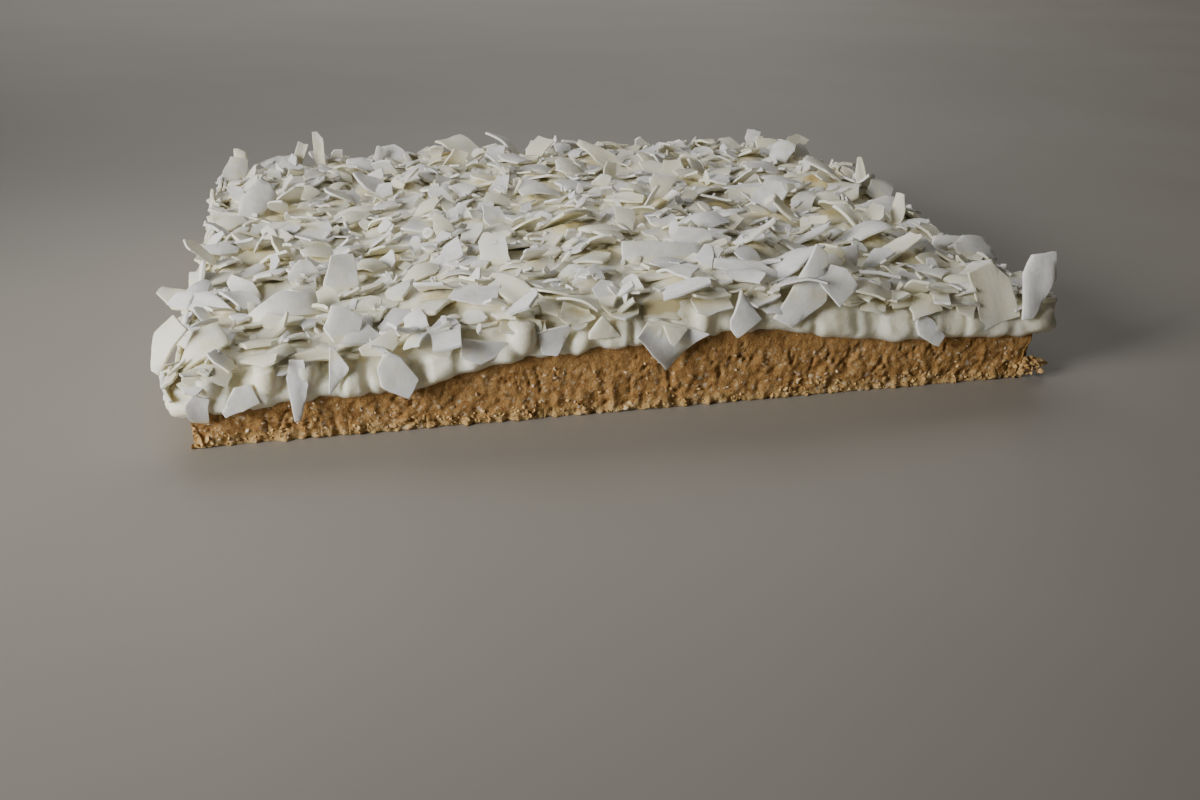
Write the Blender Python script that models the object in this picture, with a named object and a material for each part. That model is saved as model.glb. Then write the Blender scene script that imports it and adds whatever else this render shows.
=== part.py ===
"""A slab of lemon slice: a pressed biscuit base, a layer of soft lemon icing, and coconut flakes set in it.

Metres, +Z up. The origin is the middle of the flat underside. +X runs along the long cut sides, and the
cut side at -Y is the front. Two nodes come out of it: biscuit_base, and lemon_icing with its flakes fused on.
"""

import math
import random

import bmesh
import bpy
from mathutils import Matrix, Vector, noise

MM = 0.001

# The biscuit base, as the knife cut it.
BASE_WIDTH = 139 * MM
BASE_DEPTH = 120 * MM
BACK_THICKNESS = 10.5 * MM
BACK_SHARE = 0.85
JOIN_WAVE = 0.4 * MM
JOIN_WAVE_LENGTH = 24 * MM
# Share of the width from the left end, and the base's thickness there along the front cut.
FRONT_THICKNESS = (
    (0.00, 5.8 * MM),
    (0.20, 7.2 * MM),
    (0.36, 10.9 * MM),
    (0.63, 13.0 * MM),
    (0.82, 9.4 * MM),
    (1.00, 8.8 * MM),
)
UNDERCUT_END = 2.0 * MM
UNDERCUT_LONG = 0.7 * MM
CRAG = 0.35 * MM
CRAG_SIZE = 3.0 * MM
CRAG_COARSE = 0.7
CRAG_FINE = 0.5
CRAG_FINENESS = 2.3
CRAG_AT_FOOT = 2.0
CRAG_AT_JOIN = 0.7

# The icing, poured on and cut through with the base.
ICING_THICKNESS = 6.6 * MM
ICING_SWELL = 0.9 * MM
ICING_WAVE_LENGTH = 17 * MM
RIM_DROP = 0.9 * MM
ICING_OVERHANG = 0.9 * MM
END_OVERHANG = 1.4 * MM
SHOULDER = 0.6
BELLY = 0.8
SHOULDER_FALL = 3.0
DEEPEST_SWELL = -1.2
LOBE = 0.7 * MM
LOBE_SPACING = 4.2 * MM
LOBE_UPRIGHTNESS = 0.35
LOBE_FADE = 3
JOIN_GAP = 0.3 * MM

# The solids' facets: cells across the caps, and each cell's rows and columns on the sides.
CAP_CELLS = (12, 10)
SIDE_CUTS = 3
ON_EDGE = 0.01 * MM

# Coconut flakes: broken chips of shaved coconut.
FLAKE_SEED = 41
FLAKE_THICKNESS = 0.7 * MM
LEAST_EDGE = 0.3 * MM
CORNERS = ((1, 1), (1, -1), (-1, -1), (-1, 1))
CORNERS_BROKEN = (2, 2, 3)
BREAK_SLOPE = (18, 72)
BREAK_DEPTH = (0.16, 0.34)
BEND = (-0.09, 0.13)
SUNK = 0.7 * MM
STANDING_SUNK = 1.4 * MM
HANGING_CLEARANCE = 0.55 * MM
FRONT = -90

# The even scatter over the top, and along the right, back and left sides. Turns are in degrees.
TOP_CELLS = (12, 9)
TOP_LENGTH = (7.5 * MM, 12.0 * MM)
TOP_SLIMNESS = (0.5, 0.75)
TOP_JITTER = 0.3
TOP_DIPS = (4, 7, 10, 12, 15, 20, 26, 34)
DIP_SPREAD = 3
ROLL_SPREAD = 9
FREE_REACH = 7.0 * MM
SIDE_SPACING = 11 * MM
SIDE_LENGTH = (5.0 * MM, 9.0 * MM)
SIDE_SLIMNESS = (0.55, 0.8)
SIDE_JITTER = 0.25
SIDE_HEIGHT = (2.2 * MM, 6.4 * MM)
SIDE_LEAN = (0, 22)
SIDE_SUNK = 0.3 * MM

# How a flake broke: each break by the way it faces, in degrees, and how far it is from the middle of a flake
# one unit long and wide.
OUTLINES = {
    "bar": ((140, 0.42), (-15, 0.46)),
    "block": ((130, 0.48),),
    "chip": ((60, 0.38), (-150, 0.45)),
    "kite": ((40, 0.38), (-145, 0.36)),
    "round": ((40, 0.45), (140, 0.45), (-45, 0.46), (-140, 0.48)),
    "slant": ((40, 0.28), (135, 0.42)),
    "hook": ((140, 0.24), (70, 0.44)),
    "blade": ((50, 0.30), (140, 0.27)),
    "fang": ((-140, 0.27), (45, 0.50)),
    "tooth": ((30, 0.24), (150, 0.32)),
    "heart": ((30, 0.20), (55, 0.30)),
}

# Flakes that stand out on top, left to right and then along the back: place, length and width in millimetres;
# the way the face leans, its tilt, and the flake's turn in its own plane, in degrees; the bend as a share of
# the length; and the outline.
STANDING_FLAKES = (
    (-73, -25, 9, 5, -110, 20, 0, -0.08, "kite"),
    (-72, -54, 8.5, 5, -130, 60, 65, 0.04, "hook"),
    (-69, -20, 6, 4, -100, 45, 180, 0.03, "chip"),
    (-67, -34, 16, 4.5, -120, 35, -10, 0.06, "slant"),
    (-67, -55, 8.5, 5, -110, 50, 40, 0.07, "hook"),
    (-62, -28, 8.5, 4, -105, 35, -25, 0.08, "kite"),
    (-62, 17, 12, 5.5, -80, 40, 50, 0.05, "bar"),
    (-59, -55, 7.5, 3, -90, 30, -10, 0.02, "hook"),
    (-56, -40, 12.5, 5, -95, 50, 10, 0.12, "hook"),
    (-55, -9, 14, 4, -85, 25, 0, 0.03, "bar"),
    (-52, -25, 5.5, 5.5, -85, 70, -5, 0.03, "round"),
    (-52, 18, 4.5, 4, -85, 60, 0, 0.04, "round"),
    (-49, -59, 10, 2.5, -90, 30, 0, 0.03, "slant"),
    (-46, -53, 7, 5.5, -85, 40, 70, 0.04, "bar"),
    (-46, -29, 8, 6, -80, 60, 90, 0.05, "chip"),
    (-18, -53, 12, 4.5, -105, 25, -45, 0.0, "block"),
    (-10, -32, 7.5, 4, -90, 30, -10, 0.02, "hook"),
    (-7, -49, 5, 4.5, -90, 45, 90, 0.02, "chip"),
    (9, -40, 15, 5.5, -90, 40, 175, 0.05, "block"),
    (17, -35, 11.5, 5, -90, 35, 165, 0.03, "bar"),
    (20, -53, 12.5, 5, -95, 25, -15, 0.05, "kite"),
    (21, -20, 8, 5, -85, 40, -15, 0.05, "hook"),
    (43, -41, 6, 6, -85, 50, -50, 0.03, "tooth"),
    (48, -54, 9.5, 4.5, -90, 50, 10, 0.02, "slant"),
    (53, -20, 10, 3, -60, 40, -90, 0.06, "bar"),
    (59, -39, 9, 5.5, -100, 25, -60, 0.04, "chip"),
    (66, -8, 9, 6, -80, 30, 190, 0.04, "chip"),
    (67, -33, 7.5, 5.5, -85, 30, 170, 0.04, "bar"),
    (69, 12, 9, 2.5, -100, 80, -75, 0.06, "kite"),
    (70, -36, 8, 6, -75, 35, -5, 0.06, "block"),
    (-67, 57, 7, 3, -90, 70, 90, 0.04, "bar"),
    (-54, 56, 8.5, 2.5, -80, 60, 65, 0.04, "block"),
    (-49, 58, 10, 2.5, -90, 75, 90, 0.02, "bar"),
    (-31, 57, 10, 5, -85, 50, -20, 0.05, "slant"),
    (15, 40, 12, 4.5, -80, 40, 140, 0.05, "slant"),
    (38, 54, 9, 5, -85, 35, 0, 0.03, "block"),
    (64, 52, 10, 6, -85, 45, 0, 0.05, "chip"),
)

# Flakes pressed onto the front cut, left to right: place along, out and up, length and width in millimetres;
# tilt and turn in degrees; the bend as a share of the length; and the outline.
PRESSED_FLAKES = (
    (-62, -61, 8.3, 5.5, 4, 84, 20, 0.02, "hook"),
    (-53, -61.3, 9, 9.5, 3, 86, 95, 0.0, "fang"),
    (-47, -61, 11.5, 7, 3, 82, 265, 0.02, "tooth"),
    (-40.5, -60, 14, 6, 3.5, 60, 205, 0.02, "slant"),
    (-38.5, -61.3, 10.3, 6.5, 5.5, 84, -30, 0.03, "chip"),
    (-32, -60, 14, 6.5, 5, 72, 205, 0.02, "slant"),
    (-25, -61, 12.5, 7.5, 4, 80, 170, 0.02, "hook"),
    (-14, -61, 13.5, 5, 5, 86, 190, 0.02, "hook"),
    (-6.5, -61, 15.5, 5, 3.5, 84, 0, 0.02, "tooth"),
    (4.5, -61.5, 13.5, 9, 8, 88, 40, -0.14, "heart"),
    (4.5, -61.5, 14, 3.5, 3.5, 74, 50, 0.0, "tooth"),
    (4, -58.5, 17.5, 7, 5, 55, -10, 0.05, "bar"),
    (15.5, -61, 16, 6, 5, 82, 125, 0.03, "heart"),
    (28, -60.2, 18.5, 13.5, 7, 76, 237, 0.02, "blade"),
    (32, -60.8, 20, 6, 5, 66, -53, 0.03, "block"),
    (49, -61.3, 11, 6, 3.5, 84, -30, 0.02, "chip"),
    (60.5, -60.2, 16, 10.5, 7, 78, -72, 0.02, "block"),
    (68.5, -60.4, 17, 11, 6, 82, 93, 0.03, "fang"),
)

# Lumps of icing that bulged past the cut, taller than they are wide: centre and radius.
ICING_LUMPS = (
    ((71.4 * MM, -57.5 * MM, 12.6 * MM), 2.7 * MM),
    ((-19.1 * MM, -60.3 * MM, 14.8 * MM), 2.3 * MM),
    ((-70.9 * MM, -55.0 * MM, 10.6 * MM), 2.5 * MM),
    ((-66.0 * MM, -60.0 * MM, 10.4 * MM), 1.9 * MM),
    ((-57.5 * MM, -60.2 * MM, 11.0 * MM), 2.0 * MM),
    ((-51.8 * MM, -60.2 * MM, 11.6 * MM), 1.8 * MM),
)
LUMP_STRETCH = 1.45


def clear_scene():
    for leftover in list(bpy.data.objects):
        bpy.data.objects.remove(leftover)


def ease(share):
    share = min(max(share, 0.0), 1.0)
    return share * share * (3 - 2 * share)


def mix(low, high, share):
    return low + (high - low) * share


def through(stations, share):
    """A smooth run through (share, value) stations."""
    share = min(max(share, stations[0][0]), stations[-1][0])
    for (start, low), (end, high) in zip(stations, stations[1:]):
        if share <= end:
            return mix(low, high, ease((share - start) / (end - start)))
    return stations[-1][1]


def base_top(x, y):
    """Height of the join between base and icing: humped along the front cut, nearly level at the back."""
    front = through(FRONT_THICKNESS, x / BASE_WIDTH + 0.5)
    level = mix(front, BACK_THICKNESS, BACK_SHARE * ease(y / BASE_DEPTH + 0.5))
    return level + JOIN_WAVE * noise.noise(Vector((x, y, 0)) / JOIN_WAVE_LENGTH)


def icing_top(x, y):
    """Height of the icing's own surface under the flakes."""
    swell = noise.noise(Vector((x, y, 0)) / ICING_WAVE_LENGTH)
    return base_top(x, y) + ICING_THICKNESS + ICING_SWELL * swell


def crag(x, y, z):
    """Rough crumb on the base's sides, from about -1 to 1."""
    place = Vector((x, y, z)) / CRAG_SIZE
    return CRAG_COARSE * noise.noise(place) + CRAG_FINE * noise.noise(place * CRAG_FINENESS)


def lobe(x, y, z):
    """Soft upright ridges that the knife dragged in the icing's sides, from about -1 to 1."""
    return noise.noise(Vector((x, y, LOBE_UPRIGHTNESS * z)) / LOBE_SPACING)


def rounded_side(share):
    """How far the icing's side stands out at a share of its height, as a share of its swell."""
    if share < SHOULDER:
        return BELLY * math.sin(share / SHOULDER * math.pi)
    return -SHOULDER_FALL * ((share - SHOULDER) / (1 - SHOULDER)) ** 2


def material(name, colour, roughness):
    made = bpy.data.materials.new(name)
    made.use_nodes = True
    shader = made.node_tree.nodes["Principled BSDF"]
    shader.inputs["Base Color"].default_value = (*colour, 1.0)
    shader.inputs["Roughness"].default_value = roughness
    shader.inputs["Metallic"].default_value = 0.0
    return made


def node(name, bm, finish):
    bmesh.ops.triangulate(bm, faces=bm.faces[:])
    mesh = bpy.data.meshes.new(name)
    bm.to_mesh(mesh)
    bm.free()
    made = bpy.data.objects.new(name, mesh)
    mesh.materials.append(finish)
    bpy.context.scene.collection.objects.link(made)
    return made


def slab(width, depth):
    """A closed slab one unit high. Its caps are coarse cells, and its sides have finer rows and columns."""
    bm = bmesh.new()
    bmesh.ops.create_grid(bm, x_segments=CAP_CELLS[0], y_segments=CAP_CELLS[1], size=0.5)
    bmesh.ops.scale(bm, vec=(width, depth, 1), verts=bm.verts)
    raised = bmesh.ops.extrude_face_region(bm, geom=bm.faces[:], use_keep_orig=True)["geom"]
    bmesh.ops.translate(bm, vec=(0, 0, 1), verts=[v for v in raised if isinstance(v, bmesh.types.BMVert)])
    sides = [f for f in bm.faces if abs(f.normal.z) < 0.5]
    edges = {e for f in sides for e in f.edges}
    bmesh.ops.subdivide_edges(bm, edges=list(edges), cuts=SIDE_CUTS, use_grid_fill=True)
    bmesh.ops.recalc_face_normals(bm, faces=bm.faces[:])
    return bm


def outward(x, y, width, depth):
    """How much a point counts as on an end and on a long side, each -1, 0 or 1. A corner is on both."""
    at_end = math.copysign(1, x) if abs(abs(x) - width / 2) < ON_EDGE else 0
    at_long = math.copysign(1, y) if abs(abs(y) - depth / 2) < ON_EDGE else 0
    return at_end, at_long


def biscuit_base():
    bm = slab(BASE_WIDTH, BASE_DEPTH)
    bottom = [f for f in bm.faces if all(v.co.z < ON_EDGE for v in f.verts)]
    bmesh.ops.dissolve_faces(bm, faces=bottom, use_verts=False)
    for vertex in bm.verts:
        x, y, share = vertex.co
        end, long_side = outward(x, y, BASE_WIDTH, BASE_DEPTH)
        vertex.co.z = share * base_top(x, y)
        if not (end or long_side):
            continue
        rough = CRAG * crag(x, y, vertex.co.z) * mix(CRAG_AT_FOOT, CRAG_AT_JOIN, share)
        vertex.co.x += end * (rough - UNDERCUT_END * (1 - share))
        vertex.co.y += long_side * (rough - UNDERCUT_LONG * (1 - share))
    return node("biscuit_base", bm, material("biscuit", (0.50, 0.29, 0.11), 0.8))


def icing_offset(x, y, z, share):
    """How far the icing's side stands out from the base's nominal side."""
    ridge = LOBE * lobe(x, y, z) * ease((1 - share) * LOBE_FADE)
    return ICING_OVERHANG + ICING_SWELL * rounded_side(share) + ridge


def icing_body():
    bm = slab(BASE_WIDTH, BASE_DEPTH)
    for vertex in bm.verts:
        x, y, share = vertex.co
        end, long_side = outward(x, y, BASE_WIDTH, BASE_DEPTH)
        vertex.co.z = mix(base_top(x, y) + JOIN_GAP, icing_top(x, y), share)
        if not (end or long_side):
            continue
        out = icing_offset(x, y, vertex.co.z, share)
        vertex.co.x += end * (out + END_OVERHANG)
        vertex.co.y += long_side * out
        vertex.co.z -= RIM_DROP * ease(share * 2 - 1)
    return bm


def broken(outline):
    """An outline's breaks, each as a point on it and the way it faces, on a flake one unit long and wide."""
    normals = [Vector((math.cos(math.radians(way)), math.sin(math.radians(way)), 0)) for way, _ in outline]
    return [(normal * reach, normal) for normal, (_, reach) in zip(normals, outline)]


def flake_rule(draw):
    """The corners that broke off a scattered flake, and its bend."""
    snapped = []
    for corner in draw.sample(CORNERS, 3)[: draw.choice(CORNERS_BROKEN)]:
        slope = math.radians(draw.uniform(*BREAK_SLOPE))
        faces = Vector((corner[0] * math.cos(slope), corner[1] * math.sin(slope), 0))
        reach = faces.dot(Vector((corner[0] / 2, corner[1] / 2, 0))) - draw.uniform(*BREAK_DEPTH)
        snapped.append((faces * reach, faces))
    return snapped, draw.uniform(*BEND)


def flake(length, width, snapped, bend):
    """One flake lying flat at the origin, its length along X."""
    bm = bmesh.new()
    bmesh.ops.create_grid(bm, x_segments=2, y_segments=1, size=0.5)
    for reach, normal in snapped:
        geom = bm.verts[:] + bm.edges[:] + bm.faces[:]
        bmesh.ops.bisect_plane(bm, geom=geom, plane_co=reach, plane_no=normal, clear_outer=True)
    for vertex in bm.verts:
        vertex.co.z = bend * length * (1 - 4 * vertex.co.x**2)
        vertex.co.x *= length
        vertex.co.y *= width
    bmesh.ops.dissolve_degenerate(bm, dist=LEAST_EDGE, edges=bm.edges[:])
    raised = bmesh.ops.extrude_face_region(bm, geom=bm.faces[:], use_keep_orig=True)["geom"]
    top = [v for v in raised if isinstance(v, bmesh.types.BMVert)]
    bmesh.ops.translate(bm, vec=(0, 0, FLAKE_THICKNESS), verts=top)
    bmesh.ops.recalc_face_normals(bm, faces=bm.faces[:])
    return bm


def side_frame(side):
    """Turns a flake's own axes so that it faces out of a side: 0 front, 1 right, 2 back, 3 left."""
    return Matrix.Rotation(side * math.pi / 2, 4, "Z") @ Matrix.Rotation(math.pi / 2, 4, "X")


def side_edge(side, along, out=0.0):
    """The place along a side of the base, or out from it."""
    half = (BASE_DEPTH if side % 2 == 0 else BASE_WIDTH) / 2
    return Matrix.Rotation(side * math.pi / 2, 4, "Z") @ Vector((along, -half - out, 0))


def lean_on_side(side, along, height, turn, lean):
    """Where a flake goes that leans on a side at a place along it. The turns are in degrees."""
    edge = side_edge(side, along)
    share = min(max((height - base_top(edge.x, edge.y)) / ICING_THICKNESS, 0.0), 1.0)
    swell = ICING_SWELL * max(rounded_side(share), DEEPEST_SWELL)
    centre = side_edge(side, along, ICING_OVERHANG + swell + (END_OVERHANG if side % 2 else 0) - SIDE_SUNK)
    pose = side_frame(side) @ Matrix.Rotation(-math.radians(lean), 4, "X")
    pose = pose @ Matrix.Rotation(math.radians(turn), 4, "Z")
    return Matrix.Translation((centre.x, centre.y, height)) @ pose


def turned(place, heading, dip, roll):
    """A pose at a place: rolled about its length, dipped at its leading end, then headed. In degrees."""
    turn = Matrix.Rotation(math.radians(heading), 4, "Z") @ Matrix.Rotation(math.radians(dip), 4, "Y")
    return Matrix.Translation(place) @ turn @ Matrix.Rotation(math.radians(roll), 4, "X")


def leaning(place, faces, tilt, turn):
    """A pose at a place: turned in its own plane, then tilted so that its face leans one way. In degrees."""
    lean = Matrix.Rotation(math.radians(faces + 90), 4, "Z") @ Matrix.Rotation(math.radians(tilt), 4, "X")
    return Matrix.Translation(place) @ lean @ Matrix.Rotation(math.radians(turn), 4, "Z")


def standing_flakes():
    """The flakes that stand out on top, each with its size, breaks, bend and pose. Their feet are sunk."""
    for x, y, length, width, faces, tilt, turn, bend, outline in STANDING_FLAKES:
        reach = length * abs(math.sin(math.radians(turn))) + width * abs(math.cos(math.radians(turn)))
        half_rise = reach / 2 * math.sin(math.radians(tilt)) * MM
        height = icing_top(x * MM, y * MM) + half_rise - STANDING_SUNK
        place = Vector((x * MM, y * MM, height))
        yield length * MM, width * MM, broken(OUTLINES[outline]), bend, leaning(place, faces, tilt, turn)


def pressed_flakes():
    """The flakes that stand out on the front cut."""
    for x, y, z, length, width, tilt, turn, bend, outline in PRESSED_FLAKES:
        place = Vector((x, y, z)) * MM
        yield length * MM, width * MM, broken(OUTLINES[outline]), bend, leaning(place, FRONT, tilt, turn)


def top_flakes(taken):
    """One flake in each cell of an even grid on top, away from taken places. The lowest edge is sunk."""
    columns, rows = TOP_CELLS
    for index in range(columns * rows):
        draw = random.Random(FLAKE_SEED * 1000 + index)
        length = draw.uniform(*TOP_LENGTH)
        width = length * draw.uniform(*TOP_SLIMNESS)
        x = ((index % columns + 0.5 + draw.uniform(-TOP_JITTER, TOP_JITTER)) / columns - 0.5) * BASE_WIDTH
        y = ((index // columns + 0.5 + draw.uniform(-TOP_JITTER, TOP_JITTER)) / rows - 0.5) * BASE_DEPTH
        heading = draw.uniform(0, 360)
        dip = draw.choice(TOP_DIPS) + draw.uniform(-DIP_SPREAD, DIP_SPREAD)
        roll = draw.uniform(-ROLL_SPREAD, ROLL_SPREAD)
        half_rise = length * abs(math.sin(math.radians(dip))) + width * abs(math.sin(math.radians(roll)))
        place = Vector((x, y, icing_top(x, y) + half_rise / 2 - SUNK))
        if min((place.xy - other.xy).length for other in taken) > FREE_REACH:
            yield length, width, *flake_rule(draw), turned(place, heading, dip, roll)


def side_flakes():
    """The flakes on the right, back and left sides, evenly spaced."""
    for side in (1, 2, 3):
        reach = BASE_WIDTH if side % 2 == 0 else BASE_DEPTH
        count = round(reach / SIDE_SPACING)
        for index in range(count):
            draw = random.Random(FLAKE_SEED * 2000 + side * 100 + index)
            length = draw.uniform(*SIDE_LENGTH)
            width = length * draw.uniform(*SIDE_SLIMNESS)
            along = ((index + 0.5 + draw.uniform(-SIDE_JITTER, SIDE_JITTER)) / count - 0.5) * reach
            spot = side_edge(side, along)
            height = base_top(spot.x, spot.y) + draw.uniform(*SIDE_HEIGHT)
            turn, lean = draw.uniform(0, 180), draw.uniform(*SIDE_LEAN)
            yield length, width, *flake_rule(draw), lean_on_side(side, along, height, turn, lean)


def keep_clear_of_base(bm):
    """Moves what hangs below the icing out from the base's cut side."""
    for vertex in bm.verts:
        x, y, z = vertex.co
        inner_x, inner_y = BASE_WIDTH / 2 + HANGING_CLEARANCE, BASE_DEPTH / 2 + HANGING_CLEARANCE
        if z > base_top(x, y) + JOIN_GAP or abs(x) > inner_x or abs(y) > inner_y:
            continue
        if abs(x) - inner_x > abs(y) - inner_y:
            vertex.co.x = math.copysign(inner_x, x)
        else:
            vertex.co.y = math.copysign(inner_y, y)


def keep_largest_shell(bm):
    """Drops loose scraps and the skins of sealed hollows, so that one solid is left."""
    unseen = set(bm.verts)
    shells = []
    while unseen:
        shell, front = set(), [unseen.pop()]
        while front:
            vertex = front.pop()
            shell.add(vertex)
            linked = {edge.other_vert(vertex) for edge in vertex.link_edges} & unseen
            unseen -= linked
            front.extend(linked)
        shells.append(shell)
    largest = max(shells, key=len)
    bmesh.ops.delete(bm, geom=[v for v in bm.verts if v not in largest], context="VERTS")


def lemon_icing():
    finish = material("icing", (0.86, 0.84, 0.70), 0.45)
    iced = node("lemon_icing", icing_body(), finish)
    flakes = bpy.data.collections.new("flakes")
    bpy.context.scene.collection.children.link(flakes)
    shapes = []
    placed = [*standing_flakes(), *pressed_flakes()]
    taken = [pose.translation for *_, pose in placed]
    for length, width, snapped, bend, pose in [*placed, *top_flakes(taken), *side_flakes()]:
        shapes.append(flake(length, width, snapped, bend))
        bmesh.ops.transform(shapes[-1], matrix=pose, verts=shapes[-1].verts)
    for centre, radius in ICING_LUMPS:
        shapes.append(bmesh.new())
        place = Matrix.Translation(centre) @ Matrix.Diagonal((1, 1, LUMP_STRETCH, 1))
        bmesh.ops.create_icosphere(shapes[-1], subdivisions=2, radius=radius, matrix=place)
    for bm in shapes:
        keep_clear_of_base(bm)
        chip = node("flake", bm, finish)
        bpy.context.scene.collection.objects.unlink(chip)
        flakes.objects.link(chip)
    union = iced.modifiers.new("flakes fused on", "BOOLEAN")
    union.operation = "UNION"
    union.operand_type = "COLLECTION"
    union.collection = flakes
    union.solver = "MANIFOLD"
    graph = bpy.context.evaluated_depsgraph_get()
    fused = bmesh.new()
    fused.from_mesh(iced.evaluated_get(graph).data)
    iced.modifiers.remove(union)
    keep_largest_shell(fused)
    fused.to_mesh(iced.data)
    fused.free()
    for chip in list(flakes.objects):
        bpy.data.objects.remove(chip)
    bpy.data.collections.remove(flakes)
    return iced


def main():
    clear_scene()
    biscuit_base()
    lemon_icing()


main()
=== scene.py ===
"""The look of a slab of lemon slice: biscuit base, lemon icing and coconut flakes. Metres, +Z up."""

import math
import random

import bmesh
import bpy
import numpy as np
from mathutils import Matrix, Vector, noise


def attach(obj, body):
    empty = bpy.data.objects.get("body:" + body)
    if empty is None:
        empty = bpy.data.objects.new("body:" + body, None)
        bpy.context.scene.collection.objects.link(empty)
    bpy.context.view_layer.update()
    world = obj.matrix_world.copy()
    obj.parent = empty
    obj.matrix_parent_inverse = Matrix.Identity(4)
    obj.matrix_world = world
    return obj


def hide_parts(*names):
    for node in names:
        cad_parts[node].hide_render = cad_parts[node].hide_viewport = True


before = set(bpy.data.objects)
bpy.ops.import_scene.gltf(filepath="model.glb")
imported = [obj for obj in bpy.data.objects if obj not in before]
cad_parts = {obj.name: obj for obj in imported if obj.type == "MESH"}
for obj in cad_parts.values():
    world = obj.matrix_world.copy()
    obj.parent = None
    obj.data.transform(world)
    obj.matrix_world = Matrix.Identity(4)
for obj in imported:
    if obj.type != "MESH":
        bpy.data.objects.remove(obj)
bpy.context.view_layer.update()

# ---------------------------------------------------------------------------------------------------------
# Biscuit base: crushed biscuit and fine coconut bound with butter and pressed flat in a tin. The knife cut
# all four sides and dragged crumb down them, so they are pitted, streaked and ragged at the foot.

MM = 0.001
BASE_WIDTH = 139 * MM
BASE_DEPTH = 120 * MM
BACK_THICKNESS = 10.5 * MM
BACK_SHARE = 0.85
JOIN_WAVE = 0.4 * MM
JOIN_WAVE_LENGTH = 24 * MM
FRONT_THICKNESS = (
    (0.00, 5.8 * MM),
    (0.20, 7.2 * MM),
    (0.36, 10.9 * MM),
    (0.63, 13.0 * MM),
    (0.82, 9.4 * MM),
    (1.00, 8.8 * MM),
)
UNDERCUT_END = 2.0 * MM
UNDERCUT_LONG = 0.7 * MM
CRAG = 0.35 * MM
CRAG_SIZE = 3.0 * MM
CRAG_AT_FOOT = 2.0
CRAG_AT_TOP = 0.7
CRUMB_RELIEF = 0.11 * MM
CRUMB_SIZE = 1.0 * MM
GRIT_RELIEF = 0.12 * MM
GRIT_SIZE = 0.5 * MM
STREAK_RELIEF = (0.05 * MM, 0.20 * MM)
STREAK_SIZE = (1.3 * MM, 1.3 * MM, 6 * MM)
STREAKED_HEIGHT = 3.6 * MM
PIT_SPACING = 1.7 * MM
PIT_SHIFT = 5 * MM
PIT_RIM = 0.34
PIT_SLOPE = 0.24
PIT_DEPTH = 0.6 * MM
DEEPEST_PIT = 0.38 * MM
PITTED_PATCH = 5 * MM
CRACK_SIZE = (2.1 * MM, 2.1 * MM, 16 * MM)
CRACK_WIDTH = 0.055
CRACK_DEPTH = 2.4 * MM
DEEPEST_CRACK = 0.35 * MM
CRACKED_PATCH = 9 * MM
SMOOTH_UNDER_ICING = 0.25
FOOT_HEIGHT = 1.6 * MM
FOOT_RELIEF = 0.6 * MM
FOOT_GRAIN = 1.2 * MM
BASE_CELL = 2.0 * MM
BASE_ROWS = 5
BASE_CUTS = 6
CRUMB_DARK = (0.285, 0.133, 0.036)
CRUMB_MID = (0.455, 0.258, 0.086)
CRUMB_PALE = (0.56, 0.37, 0.170)
FOOT_COLOUR = (0.66, 0.475, 0.205)

# Flecks in the cut, from burnt crumb to coconut: how many cells to the millimetre, how big a fleck is as a
# share of its cell, what share of the cells has one, and its colour.
CRUMB_FLECKS = (
    (1.9, 0.20, 0.30, (0.24, 0.105, 0.030)),
    (1.35, 0.42, 0.36, (0.55, 0.40, 0.225)),
    (0.75, 0.34, 0.30, (0.62, 0.50, 0.345)),
)


def ease(share):
    share = min(max(share, 0.0), 1.0)
    return share * share * (3 - 2 * share)


def mix(low, high, share):
    return low + (high - low) * share


def through(stations, share):
    """A smooth run through (share, value) stations."""
    share = min(max(share, stations[0][0]), stations[-1][0])
    for (start, low), (end, high) in zip(stations, stations[1:]):
        if share <= end:
            return mix(low, high, ease((share - start) / (end - start)))
    return stations[-1][1]


def base_top(x, y):
    """Height of the join between base and icing: humped along the front cut, nearly level at the back."""
    front = through(FRONT_THICKNESS, x / BASE_WIDTH + 0.5)
    level = mix(front, BACK_THICKNESS, BACK_SHARE * ease(y / BASE_DEPTH + 0.5))
    return level + JOIN_WAVE * noise.noise(Vector((x, y, 0)) / JOIN_WAVE_LENGTH)


def noise_at(place, size):
    """Noise of a different size along each axis."""
    return noise.noise(Vector(along / grain for along, grain in zip(place, size)))


def crumb_relief(x, y, z, share):
    """How far the crumb stands out of the cut, less its pits and the cracks that the knife dragged open."""
    place = Vector((x, y, z))
    coarse = 0.7 * noise.noise(place / CRAG_SIZE) + 0.5 * noise.noise(place / CRAG_SIZE * 2.3)
    fine = CRUMB_RELIEF * noise.noise(place / CRUMB_SIZE) + GRIT_RELIEF * noise.noise(place / GRIT_SIZE)
    streak = mix(*STREAK_RELIEF, ease(1 - z / STREAKED_HEIGHT)) * noise_at(place, STREAK_SIZE)
    near, _ = noise.voronoi((place + Vector((0, 0, PIT_SHIFT))) / PIT_SPACING)
    pitted = max(0.0, 0.3 + noise.noise(place / PITTED_PATCH) * 2.0)
    pit = min(ease((PIT_RIM - near[0]) / PIT_SLOPE) * PIT_DEPTH * pitted, DEEPEST_PIT)
    torn = max(0.0, noise.noise(Vector((x, y, 2.0 * z)) / CRACKED_PATCH) - 0.02)
    crack = ease((CRACK_WIDTH - abs(noise_at(place, CRACK_SIZE))) / 0.05) * torn * CRACK_DEPTH
    smooth = mix(1.0, SMOOTH_UNDER_ICING, ease((share - 0.80) / 0.2))
    rough = fine + streak - pit - min(crack, DEEPEST_CRACK)
    foot = ease(1 - z / FOOT_HEIGHT) * FOOT_RELIEF * noise.noise(place / FOOT_GRAIN)
    return CRAG * coarse * mix(CRAG_AT_FOOT, CRAG_AT_TOP, share) + rough * smooth + foot


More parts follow.
